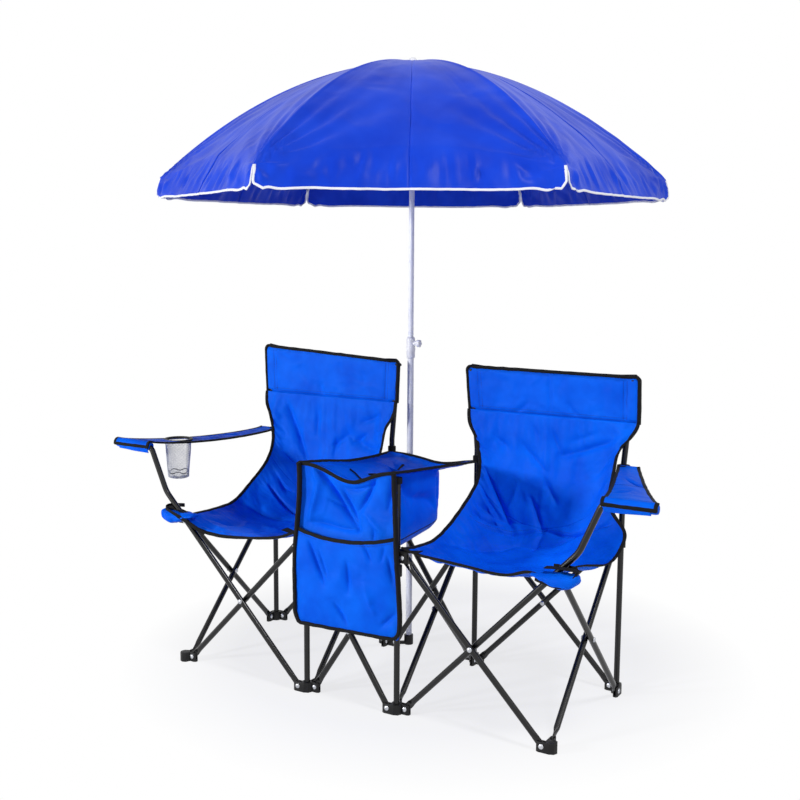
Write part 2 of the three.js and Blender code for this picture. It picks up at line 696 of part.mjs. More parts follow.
function armrest(side) {
  const face = faces.find((item) => item.arm === side);
  const armY = face.tubes[0].foot.y;
  const top = armHeight + tubeRadius + clothGap + clothThickness * 2;
  const rearEnd = rearY - tubeRadius - clothGap;
  const rowShares = [0, 0.06, 0.3, 0.55, 0.8, 1];
  const grid = rowShares.map((share) => {
    const sag = armrestDip(share);
    const height = mix(top, armrestRearHeight, share) - sag;
    const inner = mix(armrestFrontInner, armrestRearInner, share);
    const outer = mix(armrestFrontOuter, armrestRearOuter, share);
    const y = mix(armY - tubeRadius, rearEnd, share);
    return [0, 0.5, 1].map((across) => vector(side * mix(inner, outer, across), y,
      height + (across === 0.5 ? clothThickness : 0)));
  });
  const strap = sheet(grid, grid.map((row) => row.map((p) => along(p, axisZ, -clothThickness))));
  const sleeve = bar(vector(side * armrestFrontInner, armY, armHeight),
    vector(side * armrestFrontOuter, armY, armHeight), armrestSleeveRadius, postSides);
  const sleeveHole = hole(vector(side * armCornerX, armY, armHeight),
    vector(side * (armEndX + clothGap), armY, armHeight), tubeRadius + clothGap);
  const post = corners[side < 0 ? 'rear_outer_left' : 'rear_outer_right'];
  const [loopLow, loopHigh] = [armrestRearHeight - strapLoopHeight, armrestRearHeight + clothThickness];
  const loop = bar(vector(post.x, post.y, loopLow), vector(post.x, post.y, loopHigh), sleeveRadius, postSides);
  const tabInner = side * (innerX + chairBay / 2 + seatHalfWidth - clothThickness * 2);
  const tab = box(
    vector(Math.min(tabInner, post.x), frontY + seatSideCurve[seatSideCurve.length - 1][0] * chairBay - clothThickness * 2, loopLow),
    vector(Math.max(tabInner, post.x), rearY - sleeveRadius + clothThickness, loopHigh),
  );
  const postHole = hole(vector(post.x, post.y, 0), vector(post.x, post.y, flareStartHeight + clothThickness),
    tubeRadius + clothGap);
  let solid = joined([strap, sleeve, loop, tab]);
  if (side < 0) solid = withCupHolder(solid, armY, top, rearEnd);
  return cutBy(solid, [sleeveHole, postHole]);
}

// Ring and net cup let into the left armrest
function withCupHolder(strap, armY, top, rearEnd) {
  const share = (cupY - armY) / (rearEnd - armY);
  const inner = mix(armrestFrontInner, armrestRearInner, share);
  const outer = mix(armrestFrontOuter, armrestRearOuter, share);
  const x = -(inner + outer) / 2;
  const rim = mix(top, armrestRearHeight, share) - armrestDip(share) + clothThickness * 1.5;
  const floor = rim - cupDepth;
  const opening = bar(vector(x, cupY, floor), vector(x, cupY, rim + cupRimHeight), cupRimRadius - cupRimWidth);
  const cup = turned([
    [0, floor], [cupFootRadius, floor], [cupRadius, rim - cupRimHeight], [cupRimRadius,
      rim - cupRimHeight], [cupRimRadius, rim],
    [cupRimRadius - cupRimWidth, rim], [cupRadius - cupWall, rim - cupRimHeight],
    [cupFootRadius - cupWall, floor + cupWall], [0, floor + cupWall],
  ], x, cupY);
  return strap.subtract(opening).add(cup);
}

function addSeatCover(side) {
  const name = side < 0 ? 'left' : 'right';
  const grid = seatGrid(side, seatColumns);
  const seat = sheet(grid, offsetGrid(grid, clothThickness));
  const posts = (side < 0 ? ['rear_outer_left', 'rear_inner_left'] : ['rear_outer_right', 'rear_inner_right']);
  const sleeves = posts.map((post) => postRod(post, backPostHeight + clothGap, capRadius + clothGap,
    headrestBottom - chairBay / 4));
  const innerPost = corners[side < 0 ? 'front_inner_left' : 'front_inner_right'];
  const webbing = box(
    vector(Math.min(innerPost.x + side * sliderRadius,
      side * (innerX + chairBay / 2 - seatHalfWidth + eyeLength)), frontY - sliderRadius, frontHemHeight - clothThickness),
    vector(Math.max(innerPost.x + side * sliderRadius,
      side * (innerX + chairBay / 2 - seatHalfWidth + eyeLength)), frontY + sliderRadius, frontHemHeight + meshGap),
  );
  const cover = cutBy(joined([seat, headrest(side), webbing]), sleeves);
  addPart(`seat_cover_${name}`, joined([cover, cornerPocket(side), armrest(side)]), finishes.blueCloth);
}

// Table cover: sagging top hung on the four inner posts, cooler bag under it and pocket panel in front
function addTable() {
  const panelY = frontY - tableFrontGap;
  const rearEdge = rearY - tubeRadius - clothGap;
  const halfWidth = innerX + tableOverhang;
  const crossShares = [-1, -0.75, -0.5, -0.25, 0, 0.25, 0.5, 0.75, 1];
  const levelDepthShare = 0.1;
  const depthShares = [0, levelDepthShare, 0.35, 0.65, 1];
  const rearFall = (depth) => tableRearDrop * Math.max(0, (depth - levelDepthShare) / (1 - levelDepthShare));
  const topGrid = depthShares.map((depth) => crossShares.map((across) => {
    const sag = tableSag * (1 - across * across) * mix(0.95, 1.25, Math.sin(Math.PI * depth));
    const width = mix(halfWidth, innerX + clothThickness, depth);
    return vector(across * width, mix(panelY, rearEdge, depth), tableTop - sag - rearFall(depth));
  }));
  const top = sheet(topGrid, topGrid.map((row) => row.map((p) => along(p, axisZ, -clothThickness))));
  const dropShares = [0, 0.14, 0.3, 0.39, 0.42, 0.62, 0.85, 1];
  const panelGrid = dropShares.map((drop) => crossShares.map((across) => {
    const sag = tableSag * 0.95 * (1 - across * across) * (1 - drop);
    const corner = drop === 1 ? 0.96 : 1;
    const width = (halfWidth + panelFlare * drop) * corner;
    const bulge = drop > 0.39 ? panelPocketDepth * (1 - across ** 4) * (1 - (drop - 0.4) * 0.6) : 0;
    const fold = clothThickness * Math.cos(3 * Math.PI * across) * Math.sin(Math.PI * Math.min(drop * 2,
      1)) / 2;
    return vector(across * width, panelY - bulge - fold, mix(tableTop - sag, panelBottom, drop));
  }));
  const panel = sheet(panelGrid, panelGrid.map((row, j) => row.map((p, i) => {
    const bow = j > 3 ? panelPocketDepth * 0.2 * (1 - crossShares[i] ** 4) : 0;
    return vector(p.x, panelY + clothThickness - bow, p.z);
  })));
  const rearTop = tableTop - tableRearDrop;
  const loops = [-1, 1].map((side) => {
    const [low, high] = [rearTop - (clothThickness * 2) / 3, rearTop + strapLoopHeight - clothThickness];
    const ring = bar(vector(side * innerX, rearY, low), vector(side * innerX, rearY, high), sleeveRadius,
      postSides);
    return ring.subtract(hole(vector(side * innerX, rearY, 0),
      vector(side * innerX, rearY, tableTop + clothThickness), tubeRadius + clothGap));
  });
  const bagTop = (y) => tableTop - tableSag - clothThickness - rearFall((y - panelY) / (rearEdge - panelY));
  const bagRing = (height, inset) => {
    const [low, high] = [vector(-bagHalfWidth + inset, bagFront + inset, 0),
      vector(bagHalfWidth - inset, bagRear - inset, 0)];
    const points = [];
    for (const [cx, cy, start] of [[high.x, high.y, 0], [low.x, high.y, 1], [low.x, low.y, 2],
      [high.x, low.y, 3]]) {
      const centre = vector(cx - Math.sign(cx) * bagCorner,
        cy - Math.sign(cy - (bagFront + bagRear) / 2) * bagCorner, 0);
      for (const step of [0, 0.5, 1]) {
        const turn = ((start + step) * Math.PI) / 2;
        const place = along(along(centre, axisX, bagCorner * Math.cos(turn)), axisY,
          bagCorner * Math.sin(turn));
        points.push(along(place, axisZ, height ?? bagTop(place.y)));
      }
    }
    return points;
  };
  const bag = loft([bagRing(bagBottom, bagTaper * 2), bagRing(bagBottom + bagTaper, bagTaper),
    bagRing(null, 0)]);
  addPart('table_and_cooler', joined([top, panel, bag, ...loops]), finishes.blueCloth);
}

// Parasol: roof profile along a rib and its upward normal, both in the rib's own plane
const roofHeight = (s) => canopyApex - canopyDrop * (s / canopyReach) ** 2;
function underRoof(s, depth) {
  const slope = (-2 * canopyDrop * s) / canopyReach ** 2;
  const size = Math.hypot(slope, 1);
  return { s: s + (depth * slope) / size, z: roofHeight(s) - depth / size };
}
const ribDepth = canopyThickness + ribGap + ribRadius;
const ribHinge = { s: ribRoot, z: underRoof(ribRoot, ribDepth + crownDrop).z };
const ribMiddle = underRoof(stretcherReach, ribDepth);
const ribPivot = { s: ribMiddle.s, z: ribMiddle.z - ribLugDepth };
const stretcherFoot = { s: ribRoot, z: 2 * ribPivot.z - ribHinge.z };

// Place in the plane of a rib, at a distance from the pole, a height and a sideways offset
function inRibPlane(angle, s, z, sideways = 0) {
  const [c, d] = [Math.cos(angle), Math.sin(angle)];
  return vector(parasolX + s * c - sideways * d, s * d + sideways * c, z);
}

const ribAngles = Array.from({ length: ribCount }, (_,
  i) => THREE.MathUtils.degToRad(firstRibAngle + (360 * i) / ribCount));
const sidewaysOf = (angle) => vector(-Math.sin(angle), Math.cos(angle), 0);

function ribSolid(angle) {
  const normal = sidewaysOf(angle);
  const shares = [0, 1, 2, 3, 4, 5, 6].map((k) => k / 6);
  const start = ribRoot * 2;
  const spots = [
    { s: ribHinge.s - eyeRadius * 0.8, z: ribHinge.z, r: ribRadius * 0.7 },
    { s: ribHinge.s, z: ribHinge.z, r: ribRadius },
    ...shares.map((share) => ({ ...underRoof(mix(start, canopyReach - ribTipInset, share), ribDepth),
      r: ribRadius })),
  ];
  const rod = pressedTube(spots.map((spot, i) => {
    const [before, after] = [spots[Math.max(i - 1, 0)], spots[Math.min(i + 1, spots.length - 1)]];
    const direction = inRibPlane(angle, after.s, after.z).sub(inRibPlane(angle, before.s,
      before.z)).normalize();
    return { place: inRibPlane(angle, spot.s, spot.z), direction, width: spot.r, thickness: spot.r };
  }), normal, ribSides);
  const lugPoints = [[-ribLugHalfWidth, 0], [-ribLugHalfWidth * 0.6, -ribLugDepth - eyeRadius * 0.7],
    [ribLugHalfWidth * 0.6, -ribLugDepth - eyeRadius * 0.7], [ribLugHalfWidth, 0]];
  const lug = loft([-1, 1].map((side) => lugPoints.map(([ds, dz]) => (
    inRibPlane(angle, ribMiddle.s + ds, ribMiddle.z + dz, (side * ribLugThickness) / 2)))));
  const pivot = inRibPlane(angle, ribPivot.s, ribPivot.z);
  const pin = bar(pivot, along(pivot, normal, stretcherOffset + stretcherRadius + eyeRadius / 3),
    ribPinRadius, ribBoreSides);
  const hinge = inRibPlane(angle, ribHinge.s, ribHinge.z);
  return cutBy(joined([rod, lug, pin]), [bar(along(hinge, normal, -ribRadius * 2),
    along(hinge, normal, ribRadius * 2), ribBoreRadius, ribBoreSides)]);
}

function stretcherSolid(angle) {
  const normal = sidewaysOf(angle);
  const low = inRibPlane(angle, stretcherFoot.s, stretcherFoot.z, stretcherOffset);
  const high = inRibPlane(angle, ribPivot.s, ribPivot.z, stretcherOffset);
  const direction = high.clone().sub(low).normalize();
  const length = low.distanceTo(high);
  const distances = [[-eyeRadius * 0.8, eyeRadius * 0.5], [0, eyeRadius], [eyeRadius * 2.5, stretcherRadius]];
  const spots = [...distances, ...distances.map(([d, w]) => [length - d, w]).reverse()];
  const rod = pressedTube(spots.map(([d, width]) => ({
    place: along(low, direction, d), direction, width, thickness: stretcherRadius * 0.8,
  })), normal, ribSides);
  const drills = [low, high].map((end) => bar(along(end, normal, -eyeRadius), along(end, normal, eyeRadius),
    ribBoreRadius, ribBoreSides));
  return cutBy(rod, drills);
}

// Slots and pins of a hinge ring, for rib roots on the crown and stretcher feet on the runner
function hingeRing(solid, height, offset, halfWidth, half, rimRadius) {
  const slots = ribAngles.map((angle) => {
    const corner = (s, side) => inRibPlane(angle, s, 0, offset + side * halfWidth);
    const plan = [corner(crownSlotDepth, -1), corner(rimRadius * 2, -1), corner(rimRadius * 2, 1),
      corner(crownSlotDepth, 1)];
    return loft([height - half, height + half].map((z) => plan.map((p) => vector(p.x, p.y, z))));
  });
  const pins = ribAngles.map((angle) => {
    const reach = halfWidth + eyeRadius / 3;
    return bar(inRibPlane(angle, ribRoot, height, offset - reach),
      inRibPlane(angle, ribRoot, height, offset + reach), ribPinRadius, ribBoreSides);
  });
  return joined([cutBy(solid, slots), ...pins]);
}

function canopySolid() {
  const steps = 3;
  const roofShares = [0, 1, 2, 3, 4, 5, 6].map((k) => k / 6);
  const count = ribCount * steps;
  const firstAngle = THREE.MathUtils.degToRad(firstRibAngle);
  const half = Math.PI / ribCount;
  const ring = (reach, z, panelShare) => Array.from({ length: count }, (_, i) => {
    const angle = firstAngle + (2 * Math.PI * i) / count;
    const local = ((2 * Math.PI * (i % steps)) / count) - half;
    const chord = i % steps === 0 ? 1 : mix(1, Math.cos(half) / Math.cos(local), panelShare);
    return inRibPlane(angle, reach * chord, z);
  });
  const start = ribRoot * 2;
  const radii = [canopyHole, ...roofShares.map((share) => mix(start, canopyReach, share))];
  const outer = radii.map((s, k) => ring(s, roofHeight(s), k === 0 ? 0 : 1));
  outer.push(ring(canopyReach + valanceFlare, roofHeight(canopyReach) - valanceHeight, 1));
  const inner = radii.map((s, k) => {
    const low = underRoof(s, canopyThickness);
    return ring(k === 0 ? canopyHole : low.s, low.z, k === 0 ? 0 : 1);
  });
  inner.push(ring(canopyReach + valanceFlare - canopyThickness, roofHeight(canopyReach) - valanceHeight, 1));
  const rings = [...outer, ...inner.reverse()];
  const triangles = [];
  for (let j = 0; j < rings.length; j += 1) {
    const next = (j + 1) % rings.length;
    for (let i = 0; i < count; i += 1) {
      const wrap = (i + 1) % count;
      triangles.push([j * count + i, j * count + wrap, next * count + wrap],
        [j * count + i, next * count + wrap, next * count + i]);
    }
  }
  const slits = ribAngles.map((angle) => {
    const hem = roofHeight(canopyReach) - valanceHeight;
    const plan = [[canopyReach - valanceFlare, -1], [canopyReach + valanceFlare * 2, -1],
      [canopyReach + valanceFlare * 2, 1], [canopyReach - valanceFlare, 1]];
    const low = plan.map(([s, side]) => inRibPlane(angle, s, hem - valanceSlit, (side * valanceSlit) / 2));
    const high = plan.map(([s, side]) => inRibPlane(angle, s, hem + slitHeight, (side * valanceSlit) / 2));
    return loft([low, high]);
  });
  return cutBy(meshSolid(rings.flat(), triangles), slits);
}

function addParasol() {
  const topPlate = roofHeight(0) - canopyThickness - clothGap;
  const lowerPole = turned([
    [lowerPoleRadius, lowerPoleBottom], [lowerPoleRadius, collarBottom], [collarRadius,
      collarBottom], [collarRadius, collarTop - clothThickness],
    [collarRadius - clothThickness, collarTop], [upperPoleRadius + poleFit,
      collarTop], [upperPoleRadius + poleFit, lowerPoleBottom],
    [lowerPoleRadius, lowerPoleBottom],
  ], parasolX, 0);
  const bossStart = vector(parasolX + upperPoleRadius + poleFit * 2, 0, knobHeight);
  const bossEnd = vector(parasolX + collarRadius + knobBossLength, 0, knobHeight);
  const boss = bar(bossStart, bossEnd, knobBossRadius, roundSides);
  const bossHole = bar(vector(parasolX, 0, knobHeight), along(bossEnd, axisX, knobBossLength),
    knobStemRadius + poleFit, postSides);
  addPart('parasol_lower_pole', lowerPole.add(boss).subtract(bossHole), finishes.whitePole);
  const knobStart = along(bossEnd, axisX, meshGap);
  const stem = bar(vector(parasolX + upperPoleRadius + meshGap, 0, knobHeight),
    along(knobStart, axisX, meshGap), knobStemRadius, postSides);
  const lobes = new THREE.Shape(Array.from({ length: knobSides }, (_, i) => {
    const turn = (2 * Math.PI * i) / knobSides;
    const reach = knobRadius * (i % 4 < 2 ? 1 : knobLobeShare);
    return new THREE.Vector2(reach * Math.cos(turn), reach * Math.sin(turn));
  }));
  const grip = new THREE.ExtrudeGeometry(lobes, { depth: knobThickness, bevelEnabled: false });
  grip.rotateY(Math.PI / 2);
  grip.translate(knobStart.x, knobStart.y, knobStart.z);
  addPart('parasol_clamp_knob', solidOf(grip).add(stem), finishes.whitePlastic);

  const crown = [[0, topPlate], [crownRadius - eyeRadius, topPlate], [crownRadius, topPlate - eyeRadius],
    [crownRadius, topPlate - crownHeight],
    [upperPoleRadius, topPlate - crownHeight], [upperPoleRadius, upperPoleBottom], [0, upperPoleBottom]];
  const finial = turned([
    [0, topPlate - eyeRadius], [upperPoleRadius, topPlate - eyeRadius], [upperPoleRadius,
      canopyApex + meshGap], [finialRadius, canopyApex + meshGap],
    [finialRadius * 0.9, canopyApex + finialHeight * 0.5], [finialRadius * 0.5,
      canopyApex + finialHeight], [0, canopyApex + finialHeight],
  ], parasolX, 0);
  const crownSolid = hingeRing(turned(crown, parasolX, 0), ribHinge.z, 0, ribRadius + clothGap,
    crownHeight * 2, crownRadius);
  addPart('parasol_upper_pole', joined([crownSolid, finial]), finishes.whitePole);

  const flangeTop = stretcherFoot.z + runnerFlangeHalf;
  const runner = turned([
    [upperPoleRadius + slideClearance, flangeTop], [runnerFlange, flangeTop], [runnerFlange,
      flangeTop - 2 * runnerFlangeHalf],
    [runnerRadius, flangeTop - 2 * runnerFlangeHalf - eyeRadius], [runnerRadius, flangeTop - runnerLength],
    [upperPoleRadius + slideClearance, flangeTop - runnerLength], [upperPoleRadius + slideClearance, flangeTop],
  ], parasolX, 0);
  addPart('parasol_runner', hingeRing(runner, stretcherFoot.z, stretcherOffset, stretcherRadius + clothGap,
    runnerFlangeHalf * 2, runnerFlange), finishes.whitePlastic);
  addPart('parasol_canopy', canopySolid(), finishes.canopyCloth);
  ribAngles.forEach((angle, i) => {
    addPart(`parasol_rib_${i + 1}`, ribSolid(angle), finishes.whitePole);
    addPart(`parasol_stretcher_${i + 1}`, stretcherSolid(angle), finishes.whitePole);
  });
}

addPosts();
addSliders();
addPart('corner_hub_left', cornerHub('front_outer_left'), finishes.plastic);
addPart('corner_hub_right', cornerHub('front_outer_right'), finishes.plastic);
addTubes();
addSeatCover(-1);
addSeatCover(1);
addTable();
addParasol();

export default part;
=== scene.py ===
"""Folding camping loveseat: two sling chairs joined by a cloth table with a cooler bag, under a parasol.

Metres, +Z up, +X to the right for someone who faces the front, which looks towards -Y. The frame comes from
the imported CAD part, and every piece made here rides on one of its bodies.
"""
import json
import logging
import math
from dataclasses import dataclass
from enum import Enum
from typing import Callable, Sequence

import bmesh
import bpy
from bmesh.types import BMesh, BMVert
from bpy.types import Material, Mesh, Node, NodeSocket, NodeTree, Object
from mathutils import Matrix, Vector, noise


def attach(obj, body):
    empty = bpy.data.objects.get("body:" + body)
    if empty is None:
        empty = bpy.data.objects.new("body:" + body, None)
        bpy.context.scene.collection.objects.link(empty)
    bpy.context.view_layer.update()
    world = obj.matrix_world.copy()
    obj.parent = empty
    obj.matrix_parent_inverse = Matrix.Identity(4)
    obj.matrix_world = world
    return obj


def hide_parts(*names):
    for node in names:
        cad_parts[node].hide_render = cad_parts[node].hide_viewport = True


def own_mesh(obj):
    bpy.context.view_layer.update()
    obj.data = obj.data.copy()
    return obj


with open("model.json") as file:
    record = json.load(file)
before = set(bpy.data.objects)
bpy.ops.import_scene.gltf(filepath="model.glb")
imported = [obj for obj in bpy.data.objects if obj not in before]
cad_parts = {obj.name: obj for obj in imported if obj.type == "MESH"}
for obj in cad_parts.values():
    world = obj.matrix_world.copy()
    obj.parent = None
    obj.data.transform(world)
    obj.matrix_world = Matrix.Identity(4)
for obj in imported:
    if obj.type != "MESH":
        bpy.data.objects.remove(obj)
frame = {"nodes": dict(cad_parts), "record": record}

log = logging.getLogger("loveseat")

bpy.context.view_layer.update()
MM = 0.001  # metres in a millimetre
MERGE = 1e-6  # distance in metres at which points become one
WEAVE_MAP = "Weave"
WRINKLE_SEED = 1795887189  # fixes where the wrinkles fall, which would else differ from run to run
WAVE_UNIT = 2 * math.pi / 20  # scale at which a wave texture repeats once per unit
X_AXIS = Vector((1, 0, 0))
Y_AXIS = Vector((0, 1, 0))
Z_AXIS = Vector((0, 0, 1))
Triple = tuple[float, float, float]
Grid = list[list[BMVert]]
Rows = list[list[Vector]]
BODY_OF = {node: body for body, nodes in frame["record"]["behaviour"]["bodies"].items() for node in nodes}


class Side(Enum):
    """Which of the two chairs, as the sign of its X."""

    LEFT = -1
    RIGHT = 1

    @property
    def word(self) -> str:
        """The side's name in node names."""
        return self.name.lower()


# Materials


def linear(hex_colour: str) -> tuple[float, float, float, float]:
    """Turns an sRGB hex colour into linear RGBA.

    Args:
        hex_colour: six hex digits after a hash sign.

    Returns:
        Red, green, blue and an alpha of 1.
    """
    channels = [int(hex_colour[i : i + 2], 16) / 255 for i in (1, 3, 5)]
    toe, offset, power = 0.04045, 0.055, 2.4
    flat = [c / 12.92 if c <= toe else ((c + offset) / (1 + offset)) ** power for c in channels]
    return (flat[0], flat[1], flat[2], 1.0)


def add(tree: NodeTree, kind: str, links: dict | None = None, **settings: str) -> Node:
    """Adds one shader node.

    Args:
        tree: the node tree that gets it.
        kind: the node's kind, as in its type name after ShaderNode.
        links: inputs by name or number, each an output socket to link or a value to set.
        settings: attributes to set on the node.

    Returns:
        The new node.
    """
    node = tree.nodes.new("ShaderNode" + kind)
    for key, value in settings.items():
        setattr(node, key, value)
    for key, value in (links or {}).items():
        if isinstance(value, NodeSocket):
            tree.links.new(value, node.inputs[key])
        else:
            node.inputs[key].default_value = value
    return node


def in_weave(tree: NodeTree, pitch: float) -> NodeSocket:
    """A piece's own UV, in units of a thread's or a rib's pitch."""
    weave = add(tree, "UVMap", uv_map=WEAVE_MAP)
    return add(tree, "Mapping", {"Vector": weave.outputs["UV"], "Scale": (1 / pitch,) * 3}).outputs[0]


@dataclass(frozen=True)
class Finish:
    """What every finish has: a name, two near colours in soft patches, and the shader's own values."""

    name: str
    colour: str
    roughness: float
    metallic: float = 0.0
    ior: float = 1.5
    specular: float = 0.5
    shade: str = "#000000"
    patch: float = 25 * MM

    def material(self) -> Material:
        """The finish's material, made once."""
        return bpy.data.materials.get(self.name) or self.build()

    def build(self) -> Material:
        """Makes the material: values and colours here, and the relief in emboss().

        Returns:
            The material.
        """
        made = bpy.data.materials.new(self.name)
        made.use_nodes = True
        tree = made.node_tree
        shader = tree.nodes["Principled BSDF"]
        shader.inputs["Base Color"].default_value = linear(self.colour)
        shader.inputs["Roughness"].default_value = self.roughness
        shader.inputs["Metallic"].default_value = self.metallic
        shader.inputs["IOR"].default_value = self.ior
        shader.inputs["Specular IOR Level"].default_value = self.specular
        place = add(tree, "TexCoord").outputs["Object"]
        noisy = {"Vector": place, "Scale": 1 / self.patch, "Detail": 3.0, "Roughness": 0.55}
        ramp = add(tree, "ValToRGB", {"Fac": add(tree, "TexNoise", noisy).outputs["Fac"]})
        for stop, at, colour in zip(ramp.color_ramp.elements, (0.3, 0.7), (self.shade, self.colour)):
            stop.position = at
            stop.color = linear(colour)
        tree.links.new(ramp.outputs["Color"], shader.inputs["Base Color"])
        tree.links.new(self.emboss(tree, shader, place).outputs["Normal"], shader.inputs["Normal"])
        return made

    def emboss(self, tree: NodeTree, shader: Node, place: NodeSocket) -> Node:
        """Makes the relief. Each kind of finish has its own.

        Args:
            tree: the node tree.
            shader: its surface shader.
            place: coordinates in metres.

        Returns:
            The last bump node.
        """
        raise NotImplementedError


@dataclass(frozen=True)
class WovenCloth(Finish):
    """Plain-woven polyester: crossing threads in the piece's own UV, and crumples between them."""

    thread: float = 1.4 * MM
    thread_relief: float = 0.10 * MM
    rumple: float = 55 * MM
    rumple_relief: float = 3.5 * MM
    patch: float = 90 * MM

    def emboss(self, tree: NodeTree, shader: Node, place: NodeSocket) -> Node:
        """Weave from two crossed waves, crisp crumples from ridged noise.

        Args and Returns: as in Finish.
        """
        threads = in_weave(tree, self.thread)
        links = {"Vector": threads, "Scale": WAVE_UNIT}
        warp, weft = (add(tree, "TexWave", links, bands_direction=way).outputs["Fac"] for way in "XY")
        over = add(tree, "TexChecker", {"Vector": threads, "Scale": 1.0})
        height = add(tree, "Mix", {"Factor": over.outputs["Fac"], "A": warp, "B": weft})
        links = {"Height": height.outputs["Result"], "Strength": 0.6, "Distance": self.thread_relief}
        fine = add(tree, "Bump", links)
        links = {"Vector": place, "Scale": 1 / self.rumple, "Detail": 2.0, "Distortion": 0.7}
        bends = add(tree, "TexNoise", links, noise_type="RIDGED_MULTIFRACTAL")
        links = {"Height": bends.outputs["Fac"], "Strength": 1.0, "Distance": self.rumple_relief}
        return add(tree, "Bump", {**links, "Normal": fine.outputs["Normal"]})


@dataclass(frozen=True)
class Ribbon(Finish):
    """Grosgrain tape: cross ribs along the piece's own UV."""

    rib: float = 1.8 * MM
    patch: float = 30 * MM

    def emboss(self, tree: NodeTree, shader: Node, place: NodeSocket) -> Node:
        """Ribs across the tape, in its V direction.

        Args and Returns: as in Finish.
        """
        links = {"Vector": in_weave(tree, self.rib), "Scale": WAVE_UNIT}
        wave = add(tree, "TexWave", links, bands_direction="Y")
        return add(tree, "Bump", {"Height": wave.outputs["Fac"], "Strength": 0.6, "Distance": 0.2 * MM})


@dataclass(frozen=True)
class Grained(Finish):
    """Paint, moulding or metal with a fine grain and a clear coat where it has one."""

    grain: float = 1.2 * MM
    relief: float = 0.03 * MM
    coat: float = 0.0

    def emboss(self, tree: NodeTree, shader: Node, place: NodeSocket) -> Node:
        """Fine grain, and roughness that varies a little.

        Args and Returns: as in Finish.
        """
        smears = add(tree, "TexNoise", {"Vector": place, "Scale": 1 / self.patch, "Detail": 4.0})
        ends = {"To Min": self.roughness * 0.8, "To Max": self.roughness * 1.25}
        spread = add(tree, "MapRange", {"Value": smears.outputs["Fac"], **ends})
        tree.links.new(spread.outputs["Result"], shader.inputs["Roughness"])
        shader.inputs["Coat Weight"].default_value = self.coat
        grain = add(tree, "TexNoise", {"Vector": place, "Scale": 1 / self.grain, "Detail": 2.0})
        return add(tree, "Bump", {"Height": grain.outputs["Fac"], "Strength": 0.5, "Distance": self.relief})


# 600-denier polyester Oxford, dyed royal blue: a coarse, nearly matt weave. Its thread is drawn three times
# as coarse as it is, or it would not show.
SEAT_OXFORD = WovenCloth("Polyester Oxford cloth", "#056cf8", 0.5, shade="#0258e2", specular=0.05)
# 190T polyester taffeta, thin, tight and glossy: it shows crisp, bright creases.
CANOPY_TAFFETA = WovenCloth(
    "Canopy taffeta", "#1c4cde", 0.38, shade="#113cc8", thread=1.1 * MM, thread_relief=0.04 * MM,
    rumple=110 * MM, rumple_relief=3.5 * MM, patch=160 * MM, specular=0.09,
)
# Polypropylene grosgrain, dull black with cross ribs.
HEM_TAPE = Ribbon("Black grosgrain hem tape", "#0d0d0f", 0.8, shade="#070708", specular=0.2)
# The parasol's narrow white hem tape.
WHITE_TAPE = Ribbon("White grosgrain hem tape", "#fafafc", 0.7, shade="#eef0f6")
# Blue sewing thread, a little darker than the cloth.
THREAD = Ribbon("Polyester sewing thread", "#0a3cb4", 0.6, shade="#083090", rib=0.6 * MM, specular=0.3)
# Gloss black stove enamel over drawn steel tube: narrow highlights and a faint orange peel.
BLACK_ENAMEL = Grained("Gloss black enamel on steel", "#08080a", 0.24, shade="#050506", specular=0.42)
# Injection-moulded nylon, satin black with a fine spark-eroded grain.
BLACK_NYLON = Grained(
    "Moulded black nylon", "#0e0e10", 0.5, shade="#09090a", grain=0.8 * MM, relief=0.06 * MM, specular=0.3
)
# Zinc-plated rivet steel, brushed by its tumbling.
ZINC_RIVET = Grained("Zinc-plated rivet", "#c9cbd0", 0.32, 1.0, shade="#aeb1b8", grain=0.5 * MM)
# White stove enamel on the parasol's steel poles and ribs.
WHITE_ENAMEL = Grained("White enamel on steel", "#fafbff", 0.28, shade="#f0f3fa", coat=0.2)
# Moulded white ABS of the clamp, crown and runner.
WHITE_ABS = Grained("Moulded white ABS", "#fafafa", 0.42, shade="#f0f1f4", relief=0.04 * MM)
# Knotted polyester net, pale silver grey.
NET_TWINE = Grained("Pale grey polyester net", "#d4d6dc", 0.7, shade="#b9bcc4", grain=0.6 * MM, specular=0.2)


# Mesh building


@dataclass
class Station:
    """One cross-section of a swept piece: its centre and its two half axes."""

    place: Vector
    across: Vector
    up: Vector


def powered(value: float, power: float) -> float:
    """A sine or cosine raised to a power with its sign kept, which squares a ring off."""
    return math.copysign(abs(value) ** power, value)


def grid_of(bm: BMesh, columns: int, rows: int) -> Grid:
    """Adds a flat grid of faces.

    Args:
        bm: the bmesh that gets it.
        columns: faces along X.
        rows: faces along Y.

    Returns:
        Its vertices, row by row.
    """
    verts = bmesh.ops.create_grid(bm, x_segments=columns, y_segments=rows, size=1.0)["verts"]
    verts = sorted(verts, key=lambda v: (round(v.co.y, 5), round(v.co.x, 5)))
    return [verts[j * (columns + 1) : (j + 1) * (columns + 1)] for j in range(rows + 1)]


def cloth_grid(
    place: Callable[[float, float], Vector], columns: int, rows: int, size: tuple[float, float]
) -> tuple[BMesh, Grid]:
    """Lays a cloth grid whose points a function places.

    Args:
        place: the point at a share of the cloth's width and length, each from 0 to 1.
        columns: faces across.
        rows: faces along.
        size: the cloth's flat size in metres, for its weave.

    Returns:
        The bmesh and its vertices, row by row.
    """
    bm = bmesh.new()
    grid = grid_of(bm, columns, rows)
    map_weave(bm, grid, lambda j, i: (size[0] * i / columns, size[1] * j / rows))
    for j, row in enumerate(grid):
        for i, vert in enumerate(row):
            vert.co = place(i / columns, j / rows)
    bm.verts.index_update()
    return bm, grid


